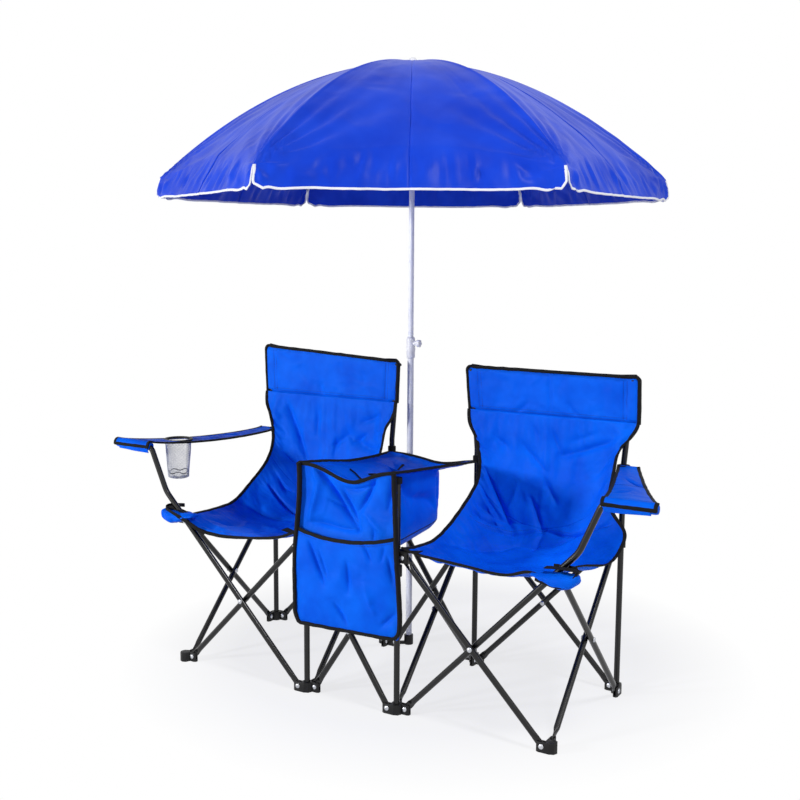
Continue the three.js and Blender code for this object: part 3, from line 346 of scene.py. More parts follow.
def map_weave(bm: BMesh, grid: Grid, flat: Callable[[int, int], tuple]) -> None:
    """Gives a grid its UV map in metres.

    Args:
        bm: the bmesh that the grid is in.
        grid: its vertices, row by row.
        flat: the UV of row j and column i.
    """
    layer = bm.loops.layers.uv.get(WEAVE_MAP) or bm.loops.layers.uv.new(WEAVE_MAP)
    places = {vert: (j, i) for j, row in enumerate(grid) for i, vert in enumerate(row)}
    for face in {face for row in grid for vert in row for face in vert.link_faces}:
        for loop in face.loops:
            loop[layer].uv = flat(*places[loop.vert])


def sweep(
    bm: BMesh, stations: Sequence[Station], sides: int = 16, square: float = 1.0, ring: bool = False
) -> None:
    """Adds a tube through cross-sections.

    Args:
        bm: the bmesh that gets the tube.
        stations: its cross-sections in order.
        sides: how many flats a ring has.
        square: 1 for an ellipse, less for a ring with squarer corners.
        ring: whether the last cross-section joins the first; otherwise both ends are closed.
    """
    path = list(stations) + ([stations[0]] if ring else [])
    grid = grid_of(bm, sides, len(path) - 1)
    lengths = [0.0]
    for before, after in zip(path, path[1:]):
        lengths.append(lengths[-1] + (after.place - before.place).length)
    girth = 2 * math.pi * max(s.across.length for s in path)
    map_weave(bm, grid, lambda j, i: (girth * i / sides, lengths[j]))
    for row, station in zip(grid, path):
        for i, vert in enumerate(row):
            turn = 2 * math.pi * i / sides
            side, rise = powered(math.cos(turn), square), powered(math.sin(turn), square)
            vert.co = station.place + station.across * side + station.up * rise
    ends = [] if ring else [grid[0], grid[-1]]
    bmesh.ops.remove_doubles(bm, verts=[vert for row in grid for vert in row], dist=MERGE)
    for end in ends:
        rim = [vert for vert in end if vert.is_valid]
        if len(rim) > 2:
            bmesh.ops.contextual_create(bm, geom=rim)


def band(bm: BMesh, centre: Vector, reach: float, wall: float, height: float, square: float = 0.5) -> None:
    """Adds a level ring of webbing, twine or rim.

    Args:
        bm: the bmesh that gets it.
        centre: its middle.
        reach: distance from there to the middle of its wall.
        wall: half the thickness of its wall.
        height: half its height.
        square: how square its section is, as for sweep().
    """
    stations = []
    for k in range(48):
        outward = Matrix.Rotation(2 * math.pi * k / 48, 3, "Z") @ X_AXIS
        stations.append(Station(centre + outward * reach, Z_AXIS * height, outward * wall))
    sweep(bm, stations, 10, square, ring=True)


def spun(profile: Sequence[tuple[float, float]], centre: Vector, steps: int = 40) -> BMesh:
    """Turns a profile about a vertical axis.

    Args:
        profile: radius and height of each point.
        centre: a point on the axis.
        steps: how many flats go round.

    Returns:
        The turned mesh.
    """
    bm = bmesh.new()
    verts = [bm.verts.new(centre + Vector((radius, 0, height))) for radius, height in profile]
    geom = verts + [bm.edges.new(pair) for pair in zip(verts, verts[1:])]
    bmesh.ops.spin(
        bm, geom=geom, cent=centre, axis=Z_AXIS, angle=2 * math.pi, steps=steps, use_merge=True,
        use_duplicate=False,
    )
    bmesh.ops.remove_doubles(bm, verts=bm.verts[:], dist=MERGE)
    return bm


def finish_piece(name: str, bm: BMesh, finish: Finish, closed: bool = True, sharp: float = 42.0) -> Object:
    """Makes a bmesh into a shaded object.

    Args:
        name: the piece's name.
        bm: its mesh, which is freed.
        finish: what it is made of.
        closed: whether it is a closed skin, whose faces are then turned outwards.
        sharp: the angle in degrees above which an edge stays crisp.

    Returns:
        The new object, at the origin.
    """
    if closed:
        bmesh.ops.recalc_face_normals(bm, faces=bm.faces[:])
    mesh = bpy.data.meshes.new(name)
    bm.to_mesh(mesh)
    bm.free()
    if WEAVE_MAP not in mesh.uv_layers:
        mesh.uv_layers.new(name=WEAVE_MAP)
    piece = bpy.data.objects.new(name, mesh)
    bpy.context.scene.collection.objects.link(piece)
    mesh.materials.append(finish.material())
    mesh.shade_smooth()
    mesh.set_sharp_from_angle(angle=math.radians(sharp))
    return piece


def swept(
    name: str, finish: Finish, stations: Sequence[Station], sides: int = 16, square: float = 1.0,
    ring: bool = False,
) -> Object:
    """Makes a piece of one tube, with what sweep() and finish_piece() take.

    Args:
        name: the piece's name.
        finish: what it is made of.
        stations, sides, square, ring: as for sweep().

    Returns:
        The tube.
    """
    bm = bmesh.new()
    sweep(bm, stations, sides, square, ring)
    return finish_piece(name, bm, finish)


def moulding(
    node: str, name: str, finish: Finish, below: float | None = None, above: float | None = None,
    bevel: float = 1.1 * MM,
) -> Object:
    """Copies a CAD node's solid and rounds its edges as a mould would.

    Args:
        node: the CAD node.
        name: the new piece's name.
        finish: what it is moulded from.
        below: keeps only what lies under this height.
        above: keeps only what lies over this height.
        bevel: the edge radius.

    Returns:
        The moulding.
    """
    bm = bmesh.new()
    bm.from_mesh(frame["nodes"][node].data)
    bmesh.ops.remove_doubles(bm, verts=bm.verts[:], dist=0.02 * MM)
    for height, clear_outer in ((below, True), (above, False)):
        if height is None:
            continue
        bmesh.ops.bisect_plane(
            bm, geom=bm.verts[:] + bm.edges[:] + bm.faces[:], plane_co=Z_AXIS * height, plane_no=Z_AXIS,
            clear_outer=clear_outer, clear_inner=not clear_outer,
        )
        bmesh.ops.holes_fill(bm, edges=[edge for edge in bm.edges if edge.is_boundary], sides=0)
    bmesh.ops.dissolve_limit(bm, angle_limit=math.radians(1), verts=bm.verts[:], edges=bm.edges[:])
    crisp = [e for e in bm.edges if len(e.link_faces) == 2 and e.calc_face_angle(0) > math.radians(28)]
    bmesh.ops.bevel(
        bm, geom=crisp, offset=bevel, offset_type="OFFSET", segments=2, profile=0.5, affect="EDGES",
        clamp_overlap=True, material=-1,
    )
    bmesh.ops.triangulate(bm, faces=[face for face in bm.faces if len(face.verts) > 4])
    return finish_piece(name, bm, finish, sharp=35)


def padded_piece(name: str, bm: BMesh, sharp: float = 80.0) -> Object:
    """Makes a closed bmesh into a pad of the seats' cloth.

    Args:
        name: the piece's name.
        bm: its closed mesh, which is freed.
        sharp: as for finish_piece().

    Returns:
        The pad.
    """
    piece = finish_piece(name, bm, SEAT_OXFORD, sharp=sharp)
    return piece


def curve_through(points: Sequence[Sequence[float]], share: float) -> Vector:
    """A point on a smooth curve through evenly counted points.

    Args:
        points: the points it passes.
        share: how far along, from 0 to 1.

    Returns:
        The point there.
    """
    spans = len(points) - 1
    at = min(max(share, 0.0), 1.0) * spans
    k = min(int(at), spans - 1)
    t = at - k
    p0, p1 = Vector(points[max(k - 1, 0)]), Vector(points[k])
    p2, p3 = Vector(points[k + 1]), Vector(points[min(k + 2, spans)])
    if k == 0:
        p0 = 2 * p1 - p2
    if k + 2 > spans:
        p3 = 2 * p2 - p1
    made = 2 * p1 + (p2 - p0) * t + (2 * p0 - 5 * p1 + 4 * p2 - p3) * t**2
    return (made + (3 * p1 - p0 - 3 * p2 + p3) * t**3) / 2


def smooth_step(value: float) -> float:
    """Eases a share from 0 to 1."""
    held = min(max(value, 0.0), 1.0)
    return held * held * (3 - 2 * held)


def bell(value: float, centre: float, width: float) -> float:
    """A bell curve: 1 at its centre and 0.37 a width away."""
    return math.exp(-(((value - centre) / width) ** 2))


def between(low: float, high: float, share: float) -> float:
    """The value at a share of the way."""
    return low + (high - low) * share


@dataclass(frozen=True)
class Motion:
    """How a piece follows the frame: the body it rides on, and for cloth a joint with the axis, anchor and
    share of a gathering that carry() does not apply.
    """

    body: str
    joint: str = ""
    axis: Triple = (1.0, 0.0, 0.0)
    anchor: Triple = (0.0, 0.0, 0.0)
    keep: float = 1.0

    def carry(self, *pieces: Object) -> None:
        """Makes the pieces ride on the body, each with its own mesh where a joint is named."""
        for piece in pieces:
            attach(piece, self.body)
            if self.joint:
                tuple(self.axis)
                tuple(self.anchor)
                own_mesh(piece)
            log.info("%s rides on %s", piece.name, self.body)


def stand_in(piece: Object, node: str) -> None:
    """Puts a piece in its CAD node's place: hides the node and puts the piece on the node's body.

    Args:
        piece: the new piece.
        node: the CAD node.
    """
    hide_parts(node)
    Motion(BODY_OF[node]).carry(piece)


# Tape, stitching and rivets


@dataclass(frozen=True)
class Tape:
    """Folded hem tape, sewn over an edge."""

    half_width: float = 5.5 * MM
    half_thickness: float = 2.0 * MM
    overlap: float = 4.0 * MM
    sides: int = 10
    finish: Finish = HEM_TAPE

    def along_edge(
        self, name: str, edge: Sequence[Vector], inner: Sequence[Vector], ring: bool = False
    ) -> Object:
        """Sews the tape over an edge.

        Args:
            name: the piece's name.
            edge: points along the cloth's edge.
            inner: for each of them a point further into the cloth.
            ring: whether the edge closes on itself.

        Returns:
            The tape.
        """
        return swept(name, self.finish, self.stations(edge, inner, ring), self.sides, 0.6, ring)

    def along_side(self, name: str, points: Sequence[Sequence[Vector]], at: int, inside: int) -> Object:
        """Sews the tape over one side of a row-by-row grid: its column, and one further in."""
        return self.along_edge(name, [row[at] for row in points], [row[inside] for row in points])

    def stations(self, edge: Sequence[Vector], inner: Sequence[Vector], ring: bool = False) -> list[Station]:
        """The tape's cross-sections along an edge, as along_edge() takes them.

        Args:
            edge, inner, ring: as for along_edge().

        Returns:
            The cross-sections.
        """
        made = []
        for k, (place, inside) in enumerate(zip(edge, inner)):
            before = edge[k - 1] if k or ring else edge[0]
            after = edge[(k + 1) % len(edge)] if k + 1 < len(edge) or ring else edge[-1]
            ahead = (after - before).normalized()
            inwards = (inside - place) - ahead * (inside - place).dot(ahead)
            inwards = inwards.normalized() if inwards.length > MERGE else ahead.orthogonal().normalized()
            facing = ahead.cross(inwards).normalized()
            drift = noise.noise(place * 45)
            centre = place + inwards * (self.overlap - (1.5 + 0.9 * drift) * MM)
            width = self.half_width * (1 + 0.12 * noise.noise(place * 60 + Z_AXIS))
            made.append(Station(centre, inwards * width, facing * self.half_thickness))
        return made


@dataclass(frozen=True)
class Stitching:
    """Rows of lockstitches: small raised grains of thread, one after another."""

    pitch: float = 5.0 * MM
    half_length: float = 2.0 * MM
    half_width: float = 0.6 * MM

    def sewn(self, name: str, lines: Sequence[Sequence[Vector]], facing: Vector) -> Object:
        """Sews stitches along lines.

        Args:
            name: the piece's name.
            lines: the lines that they follow, on the cloth.
            facing: which way the cloth faces there.

        Returns:
            The thread.
        """
        bm = bmesh.new()
        scale = Matrix.Diagonal((self.half_length, self.half_width, self.half_width, 1.0))
        for line in lines:
            travelled, due = 0.0, self.pitch / 2
            for before, after in zip(line, line[1:]):
                step = after - before
                while due <= travelled + step.length:
                    place = before + step * ((due - travelled) / step.length)
                    ahead = step.normalized()
                    side = facing.cross(ahead).normalized()
                    turn = Matrix((ahead, side, ahead.cross(side))).transposed().to_4x4()
                    grain = Matrix.Translation(place) @ turn @ scale
                    bmesh.ops.create_icosphere(bm, subdivisions=1, radius=1.0, matrix=grain)
                    due += self.pitch
                travelled += step.length
        return finish_piece(name, bm, THREAD)


def rivet_dome(bm: BMesh, place: Vector, axis: Vector, radius: float, height: float) -> None:
    """Adds a domed rivet head.

    Args:
        bm: the bmesh that gets it.
        place: the middle of its underside.
        axis: which way it points.
        radius: its radius.
        height: its height.
    """
    turn = axis.to_track_quat("Z", "Y").to_matrix().to_4x4()
    dome = Matrix.Translation(place) @ turn @ Matrix.Diagonal((radius, radius, height, 1.0))
    bmesh.ops.create_uvsphere(bm, u_segments=16, v_segments=8, radius=1.0, matrix=dome)


# Cloth that hangs and settles


@dataclass(frozen=True)
class Drape:
    """A short cloth simulation that lets a sheet hang and wrinkle between the edges that are held."""

    slack: float
    reach: float
    frames: int = 16
    weight: float = 0.5

    def settle(self, piece: Object, held: Sequence[int]) -> None:
        """Simulates a piece and writes the result into its mesh.

        Args:
            piece: the sheet, with no modifiers.
            held: indices of the points that stay where they are.
        """
        group = piece.vertex_groups.new(name="held")
        group.add(list(held), 1.0, "REPLACE")
        cloth = piece.modifiers.new("Settling", "CLOTH")
        settings = cloth.settings
        settings.quality = 6
        settings.mass = 0.25
        settings.tension_stiffness = 40
        settings.compression_stiffness = 40
        settings.shear_stiffness = 10
        settings.bending_stiffness = 0.4
        settings.vertex_group_mass = "held"
        settings.shrink_min = -self.slack
        settings.effector_weights.gravity = self.weight
        cloth.collision_settings.use_collision = False
        cloth.point_cache.frame_start = 1
        cloth.point_cache.frame_end = self.frames
        for number in range(1, self.frames + 1):
            bpy.context.scene.frame_set(number)
        shown = piece.evaluated_get(bpy.context.evaluated_depsgraph_get())
        settled = [v.co.copy() for v in shown.data.vertices]
        piece.modifiers.remove(cloth)
        piece.vertex_groups.remove(group)
        bpy.context.scene.frame_set(1)
        for vert, place in zip(piece.data.vertices, settled):
            step = place - vert.co
            if step.length > self.reach:
                step *= self.reach / step.length
            vert.co += step
        piece.data.update()


def wrinkled(spot: Vector, seed: float) -> float:
    """Wrinkles of crumpled cloth, from about -1 to +1: soft waves with a few crisp crests.

    Args:
        spot: where, in units of the distance between wrinkles.
        seed: shifts the pattern.

    Returns:
        The height there.
    """
    place = spot + Vector((seed, -seed, seed * 0.7))
    place += noise.noise_vector(place * 0.6) * 0.9
    crest = max(0.0, 1 - 3.2 * abs(noise.noise(place * 1.6)))
    return 1.1 * noise.noise(place) + 0.55 * crest * noise.noise(place * 0.5 + Vector((4, 2, 1)))


@dataclass(frozen=True)
class Crease:
    """A fold pressed into cloth between two shares of its width and length. A ridge has a depth below 0."""

    start: tuple[float, float]
    end: tuple[float, float]
    depth: float = 5.0
    width: float = 9.0

    def depth_at(self, spot: Vector, size: tuple[float, float]) -> float:
        """How far it presses in a point of the cloth.

        Args:
            spot: the point on the flat cloth, in metres.
            size: the cloth's flat size.

        Returns:
            The depth in metres. The crease's own sizes are in millimetres.
        """
        start = Vector((self.start[0] * size[0], self.start[1] * size[1]))
        run = Vector((self.end[0] * size[0], self.end[1] * size[1])) - start
        share = min(max((spot - start).dot(run) / run.length_squared, 0.0), 1.0)
        away = (spot - start - run * share).length / MM
        blunt = 2.0
        swell = math.sin(math.pi * between(0.15, 0.85, share))
        fade = math.exp((blunt - math.hypot(away, blunt)) / (0.85 * self.width))
        return 2.6 * self.depth * MM * swell * fade


@dataclass(frozen=True)
class Folds:
    """What shapes a sheet between its edges: given creases and wrinkles all over it."""

    size: tuple[float, float]
    facing: Vector
    creases: tuple[Crease, ...] = ()
    height: float = 4.0 * MM
    grain: tuple[float, float] = (0.045, 0.060)
    seed: float = 0.0
    border: float = 0.06
    sides_open: bool = False

    def press(self, mesh: Mesh) -> None:
        """Moves a sheet's points along their normals. Its border stays, except sides that are open.

        Args:
            mesh: the sheet's mesh, with its flat place as UV.
        """
        corners = zip(mesh.loops, mesh.uv_layers[WEAVE_MAP].data)
        spots = {loop.vertex_index: corner.uv.copy() for loop, corner in corners}
        total = sum((vert.normal.dot(self.facing) for vert in mesh.vertices), 0.0)
        outward = math.copysign(1.0, total)
        moves = []
        for vert in mesh.vertices:
            spot = spots[vert.index]
            across, along = spot.x / self.size[0], spot.y / self.size[1]
            rim = min(along, 1 - along, 1 if self.sides_open else min(across, 1 - across))
            grains = Vector((spot.x / self.grain[0], spot.y / self.grain[1], 0))
            rise = self.height * wrinkled(grains, self.seed)
            depth = sum(crease.depth_at(spot, self.size) for crease in self.creases)
            moves.append(vert.normal * (outward * (rise - depth) * smooth_step(rim / self.border)))
        for vert, move in zip(mesh.vertices, moves):
            vert.co += move
        mesh.update()


def creases(*rows: Sequence[float]) -> tuple[Crease, ...]:
    """Creases from rows of start, end, depth and width."""
    return tuple(Crease((row[0], row[1]), (row[2], row[3]), row[4], row[5]) for row in rows)


def sewn_sheet(
    bm: BMesh, grid: Grid, names: Sequence[str], thickness: float, folds: Folds, drape: Drape | None = None
) -> tuple[list[Object], Rows]:
    """Makes a cloth grid into seat cloth that settles, takes its folds and parts where it crosses joints.

    Args:
        bm: the grid's bmesh, whose faces carry their part's number as material index. It is freed.
        grid: its vertices, row by row.
        names: the parts' names, in the order of those numbers.
        thickness: its thickness.
        folds: its folds.
        drape: how it settles between its four edges, if it does.

    Returns:
        The parts, which meet point on point, and where the grid's points went, row by row.
    """
    order = [[vert.index for vert in row] for row in grid]
    whole = finish_piece("whole_cloth", bm, SEAT_OXFORD, closed=False)
    if drape:
        drape.settle(whole, [index for row in order for index in (row[0], row[-1])] + order[0] + order[-1])
    for _ in names[1:]:
        whole.data.materials.append(SEAT_OXFORD.material())
    finer = whole.modifiers.new("Finer", "SUBSURF")
    finer.levels = 1
    finer.render_levels = 1
    finer.boundary_smooth = "PRESERVE_CORNERS"
    mesh = bpy.data.meshes.new_from_object(whole.evaluated_get(bpy.context.evaluated_depsgraph_get()))
    bpy.data.objects.remove(whole)
    folds.press(mesh)
    parts = []
    for number, name in enumerate(names):
        bm = bmesh.new()
        bm.from_mesh(mesh)
        others = [face for face in bm.faces if face.material_index != number]
        bmesh.ops.delete(bm, geom=others, context="FACES")
        for face in bm.faces:
            face.material_index = 0
        parts.append(cloth_piece(name, bm, SEAT_OXFORD, thickness))
    return parts, [[mesh.vertices[index].co.copy() for index in row] for row in order]


def cloth_piece(name: str, bm: BMesh, finish: Finish, thickness: float) -> Object:
    """Makes a single-skinned bmesh into cloth of a thickness, in its material slot.

    Args:
        name: the piece's name.
        bm: its mesh, which is freed.
        finish: the cloth.
        thickness: its thickness.

    Returns:
        The cloth.
    """
    piece = finish_piece(name, bm, finish, closed=False, sharp=80)
    wall = piece.modifiers.new("Cloth thickness", "SOLIDIFY")
    wall.thickness = thickness
    wall.offset = 0.0
    return piece


def on_cloth(points: Rows, across: float, along: float) -> Vector:
    """The place on a row-by-row grid at a share of its width and length.

    Args:
        points: the grid's points.
        across: share of the width.
        along: share of the length.

    Returns:
        The place.
    """
    rows, columns = len(points) - 1, len(points[0]) - 1
    j, i = min(int(along * rows), rows - 1), min(int(across * columns), columns - 1)
    s, t = across * columns - i, along * rows - j
    return points[j][i].lerp(points[j][i + 1], s).lerp(points[j + 1][i].lerp(points[j + 1][i + 1], s), t)


def level_along(levels: Sequence[float], share: float) -> float:
    """A smooth line through evenly counted levels, read at a share of the way."""
    return curve_through([(level, 0.0) for level in levels], share).x


# Frame layout


@dataclass(frozen=True)
class Layout:
    """Places of the frame's posts and pivots, as the CAD part has them."""

    chair_bay: float = 0.441
    table_bay: float = 0.288
    folded_bay: float = 0.09387
    post_y: float = -0.031
    pivot_reach: float = 0.022
    foot_pivot: float = 0.015
    seat_pivot: float = 0.427
    table_pivot: float = 0.387
    back_post_height: float = 0.872
    table_post_height: float = 0.632
    post_flare: float = 0.020
    flare_start: float = 0.640
    tube_spread: float = 0.0085
    lug_half_width: float = 0.007
    arm_height: float = 0.632
    arm_end_x: float = 0.812
    arm_corner_x: float = 0.694
    arm_elbow_x: float = 0.638
    arm_elbow_radius: float = 0.090
    arm_corner_radius: float = 0.026

    @property
    def inner_x(self) -> float:
        """Distance of the inner posts from the middle."""
        return self.table_bay / 2

    @property
    def outer_x(self) -> float:
        """Distance of the outer posts from the middle."""
        return self.inner_x + self.chair_bay

    @property
    def front_y(self) -> float:
        """Y of the front posts and feet."""
        return self.post_y - self.chair_bay

    def corner(self, name: str) -> Vector:
        """Floor point of a corner such as rear_outer_left."""
        x = self.outer_x if "outer" in name else self.inner_x
        return Vector((-x if "left" in name else x, self.post_y if "rear" in name else self.front_y, 0))

    def flare_of(self, name: str) -> float:
        """How far a back post leans out at its top, with its sign."""
        outward = self.post_flare if ("outer" in name) == ("right" in name) else -self.post_flare
        return outward if "rear" in name else 0.0

    def post_axis(self, name: str, height: float) -> Vector:
        """The post's middle at a height."""
        lean = max(0.0, height - self.flare_start) / (self.back_post_height - self.flare_start)
        return self.corner(name) + Vector((self.flare_of(name) * lean, 0, height))

    def pivot(self, near: str, far: str, normal: Vector, height: float, side: float) -> Vector:
        """Pivot of a scissor tube's end beside a corner.

        Args:
            near: the corner that it is at.
            far: the face's other corner.
            normal: the face's normal.
            height: the pivot's height.
            side: on which side of the face the tube lies.

        Returns:
            The pivot.
        """
        here, there = self.corner(near), self.corner(far)
        outward = (there - here).normalized()
        return here + outward * self.pivot_reach + normal * (side * self.tube_spread) + Z_AXIS * height

    @property
    def chair_turn(self) -> float:
        """How far a chair's scissor tubes turn when the frame folds.

        Returns:
            The angle in radians.
        """
        run, rise = self.chair_bay - 2 * self.pivot_reach, self.seat_pivot - self.foot_pivot
        folded_run = self.folded_bay - 2 * self.pivot_reach
        return math.acos(folded_run / math.hypot(run, rise)) - math.atan2(rise, run)


LAYOUT = Layout()


@dataclass(frozen=True)
class ScissorFace:
    """One pair of crossing tubes between two corners."""

    name: str
    a: str
    b: str
    normal: Vector
    spread: int
    arm: int = 0
    table: bool = False


FACES = (
    ScissorFace("rear_left", "rear_inner_left", "rear_outer_left", Y_AXIS, -1),
    ScissorFace("rear_right", "rear_inner_right", "rear_outer_right", Y_AXIS, -1),
    ScissorFace("front_left", "front_inner_left", "front_outer_left", Y_AXIS, -1, arm=-1),
    ScissorFace("front_right", "front_inner_right", "front_outer_right", Y_AXIS, 1, arm=1),
    ScissorFace("side_outer_left", "rear_outer_left", "front_outer_left", X_AXIS, -1),
    ScissorFace("side_inner_left", "rear_inner_left", "front_inner_left", X_AXIS, -1),
    ScissorFace("side_inner_right", "rear_inner_right", "front_inner_right", X_AXIS, 1),
    ScissorFace("side_outer_right", "rear_outer_right", "front_outer_right", X_AXIS, 1),
    ScissorFace("table_rear", "rear_inner_left", "rear_inner_right", Y_AXIS, -1, table=True),
    ScissorFace("table_front", "front_inner_left", "front_inner_right", Y_AXIS, 1, table=True),
)


@dataclass
class SteelFrame:
    """The black tube frame: scissor and arm tubes, posts, feet, sliders and hubs, with their rivets."""

    tube_radius: float = 8.0 * MM
    eye_half_width: float = 10.0 * MM
    eye_half_thickness: float = 2.6 * MM
    eye_length: float = 20.0 * MM
    pressed_transition: float = 20.0 * MM
    rivet_radius: float = 6.9 * MM
    rivet_height: float = 2.9 * MM
    cap_radius: float = 10.5 * MM
    cap_height: float = 9.0 * MM
    foot_cut: float = 30.0 * MM

    def build(self) -> None:
        """Builds and dresses the whole frame."""
        self.heads: dict[str, BMesh] = {}
        for face in FACES:
            self.add_face(face)
        self.add_posts()
        self.add_mouldings()
        self.add_rivets()

    def end_sizes(self) -> list[Triple]:
        """Distance past the pin, half width and half thickness along a pressed tube end.

        Returns:
            The sizes in order, from the end inwards.
        """
        wide, thin = self.eye_half_width, self.eye_half_thickness
        turns = [math.radians(90 * step / 4) for step in range(1, 5)]
        sizes = [(-wide * 0.98, wide * 0.2, thin)]
        sizes += [(-wide * math.cos(turn), wide * math.sin(turn), thin) for turn in turns]
        for share in (step / 6 for step in range(7)):
            past = self.eye_length + self.pressed_transition * share
            halves = [between(half, self.tube_radius, smooth_step(share)) for half in (wide, thin)]
            sizes.append((past, *halves))
        return sizes

    def tube_stations(self, foot: Vector, head: Vector, normal: Vector) -> list[Station]:
        """Cross-sections of a straight tube with both ends pressed flat.

        Args:
            foot: its lower pin.
            head: its upper pin.
            normal: the face's normal.

        Returns:
            The cross-sections.
        """
        ahead = (head - foot).normalized()
        side = normal.cross(ahead)
        ends = self.end_sizes()
        length = (head - foot).length
        places = ends + [(length - d, w, t) for d, w, t in reversed(ends)]
        return [Station(foot + ahead * d, side * w, normal * t) for d, w, t in places]

    def arm_stations(self, face: ScissorFace, foot: Vector, head: Vector) -> list[Station]:
        """Cross-sections of an arm tube: the scissor tube carried on past the seat, then up and out.

        Args:
            face: the tube's face.
            foot: its lower pin.
            head: the pin at the seat.

        Returns:
            The cross-sections.
        """
        rise = (head - foot).normalized()
        elbow = foot + rise * ((face.arm * LAYOUT.arm_elbow_x - foot.x) / rise.x)
        corner = Vector((face.arm * LAYOUT.arm_corner_x, foot.y, LAYOUT.arm_height))
        end = Vector((face.arm * LAYOUT.arm_end_x, foot.y, LAYOUT.arm_height))
        normal, ends = face.normal, self.end_sizes()
        stations = [Station(foot + rise * d, normal.cross(rise) * w, normal * t) for d, w, t in ends]
        bends = (
            (foot, elbow, corner, LAYOUT.arm_elbow_radius, 8),
            (elbow, corner, end, LAYOUT.arm_corner_radius, 12),
        )
        for before, at, after, radius, steps in bends:
            into, out = (at - before).normalized(), (after - at).normalized()
            turn = into.angle(out)
            axis = into.cross(out).normalized()
            centre = at - into * (radius * math.tan(turn / 2)) + axis.cross(into) * radius
            for step in range(steps + 1):
                ahead = Matrix.Rotation(turn * step / steps, 3, axis) @ into
                place = centre - axis.cross(ahead) * radius
                across = normal.cross(ahead) * self.tube_radius
                stations.append(Station(place, across, normal * self.tube_radius))
        out = Vector((face.arm, 0, 0))
        for back, share in ((0.0015, 1.0), (0.0, 0.8)):
            radius = self.tube_radius * share
            stations.append(Station(end - out * back, normal.cross(out) * radius, normal * radius))
        return stations

    def add_tube(self, node: str, stations: Sequence[Station], sides: int = 20) -> None:
        """Adds a finished tube in place of its CAD node."""
        stand_in(swept(f"{node}_enamelled", BLACK_ENAMEL, stations, sides), node)

    def head_at(self, node: str, place: Vector, axis: Vector) -> None:
        """Puts a rivet head on what a CAD node stands for."""
        bm = self.heads.setdefault(node, bmesh.new())
        rivet_dome(bm, place, axis, self.rivet_radius, self.rivet_height)

    def add_face(self, face: ScissorFace) -> None:
        """Adds a face's two tubes and every rivet head on them.

        Args:
            face: the face.
        """
        top = LAYOUT.table_pivot if face.table else LAYOUT.seat_pivot
        upper = "table_slider" if face.table else "seat_slider"
        ends = []
        for low, high, side in ((face.a, face.b, face.spread), (face.b, face.a, -face.spread)):
            foot = LAYOUT.pivot(low, high, face.normal, LAYOUT.foot_pivot, side)
            head = LAYOUT.pivot(high, low, face.normal, top, side)
            ends.append((foot, head, side))
            half = LAYOUT.lug_half_width
            at_hub = "front_outer" in high
            foot_node = low.replace("front_outer", "front_foot") if "front_outer" in low else f"post_{low}"
            head_node = high.replace("front_outer", "corner_hub") if at_hub else f"{upper}_{high}"
            for sign in (-1, 1):
                self.head_at(foot_node, foot + face.normal * (sign * half), face.normal * sign)
                if not (face.arm and at_hub):
                    self.head_at(head_node, head + face.normal * (sign * half), face.normal * sign)
        (foot_a, head_a, side_a), (foot_b, head_b, _) = ends
        node_a = f"arm_tube_{'left' if face.arm < 0 else 'right'}" if face.arm else f"{face.name}_tube_a"
        if face.arm:
            self.add_tube(node_a, self.arm_stations(face, foot_a, head_a))
            outside = head_a - Y_AXIS * self.tube_radius
            self.head_at(face.b.replace("front_outer", "corner_hub"), outside - Y_AXIS * 0.0004, -Y_AXIS)
        else:
            self.add_tube(node_a, self.tube_stations(foot_a, head_a, face.normal))
        self.add_tube(f"{face.name}_tube_b", self.tube_stations(foot_b, head_b, face.normal))
        middle = (foot_a + head_a) / 2 - face.normal * (side_a * LAYOUT.tube_spread)
        reach = LAYOUT.tube_spread + self.tube_radius
        for sign in (-1, 1):
            self.head_at(node_a, middle + face.normal * (sign * reach), face.normal * sign)

    def add_posts(self) -> None:
        """Adds the six posts with their caps and takes the moulded feet from the CAD nodes."""
        for node in frame["nodes"]:
            if not node.startswith("post_"):
                continue
            name = node.removeprefix("post_")
            top = LAYOUT.back_post_height if "rear" in name else LAYOUT.table_post_height
            heights = [0.012, LAYOUT.flare_start, top - 0.002] if "rear" in name else [0.012, top - 0.002]
            along = [LAYOUT.post_axis(name, height) for height in heights]
            rings = [Station(place, X_AXIS * self.tube_radius, Y_AXIS * self.tube_radius) for place in along]
            self.add_tube(node, rings, 24)
            rounds = [(self.cap_radius * 0.96, -self.cap_height), (self.cap_radius, -self.cap_height * 0.9)]
            for step in range(5):
                turn = math.radians(90 * step / 4)
                rounds.append((self.cap_radius * math.cos(turn), -0.004 + 0.004 * math.sin(turn)))
            cap = finish_piece(f"{node}_cap", spun(rounds, LAYOUT.post_axis(name, top), 24), BLACK_NYLON)
            foot = moulding(node, f"{node}_foot", BLACK_NYLON, below=self.foot_cut)
            Motion(BODY_OF[node]).carry(cap, foot)

    def add_mouldings(self) -> None:
        """Takes the outer feet, sliders and hubs from their CAD nodes."""
        for node in frame["nodes"]:
            if node.startswith(("front_foot", "seat_slider", "table_slider", "corner_hub")):
                stand_in(moulding(node, f"{node}_moulded", BLACK_NYLON), node)

    def add_rivets(self) -> None:
        """Makes one piece of each node's rivet heads."""
        for node, bm in self.heads.items():
            Motion(BODY_OF[node]).carry(finish_piece(f"{node}_rivets", bm, ZINC_RIVET))


# Seat covers


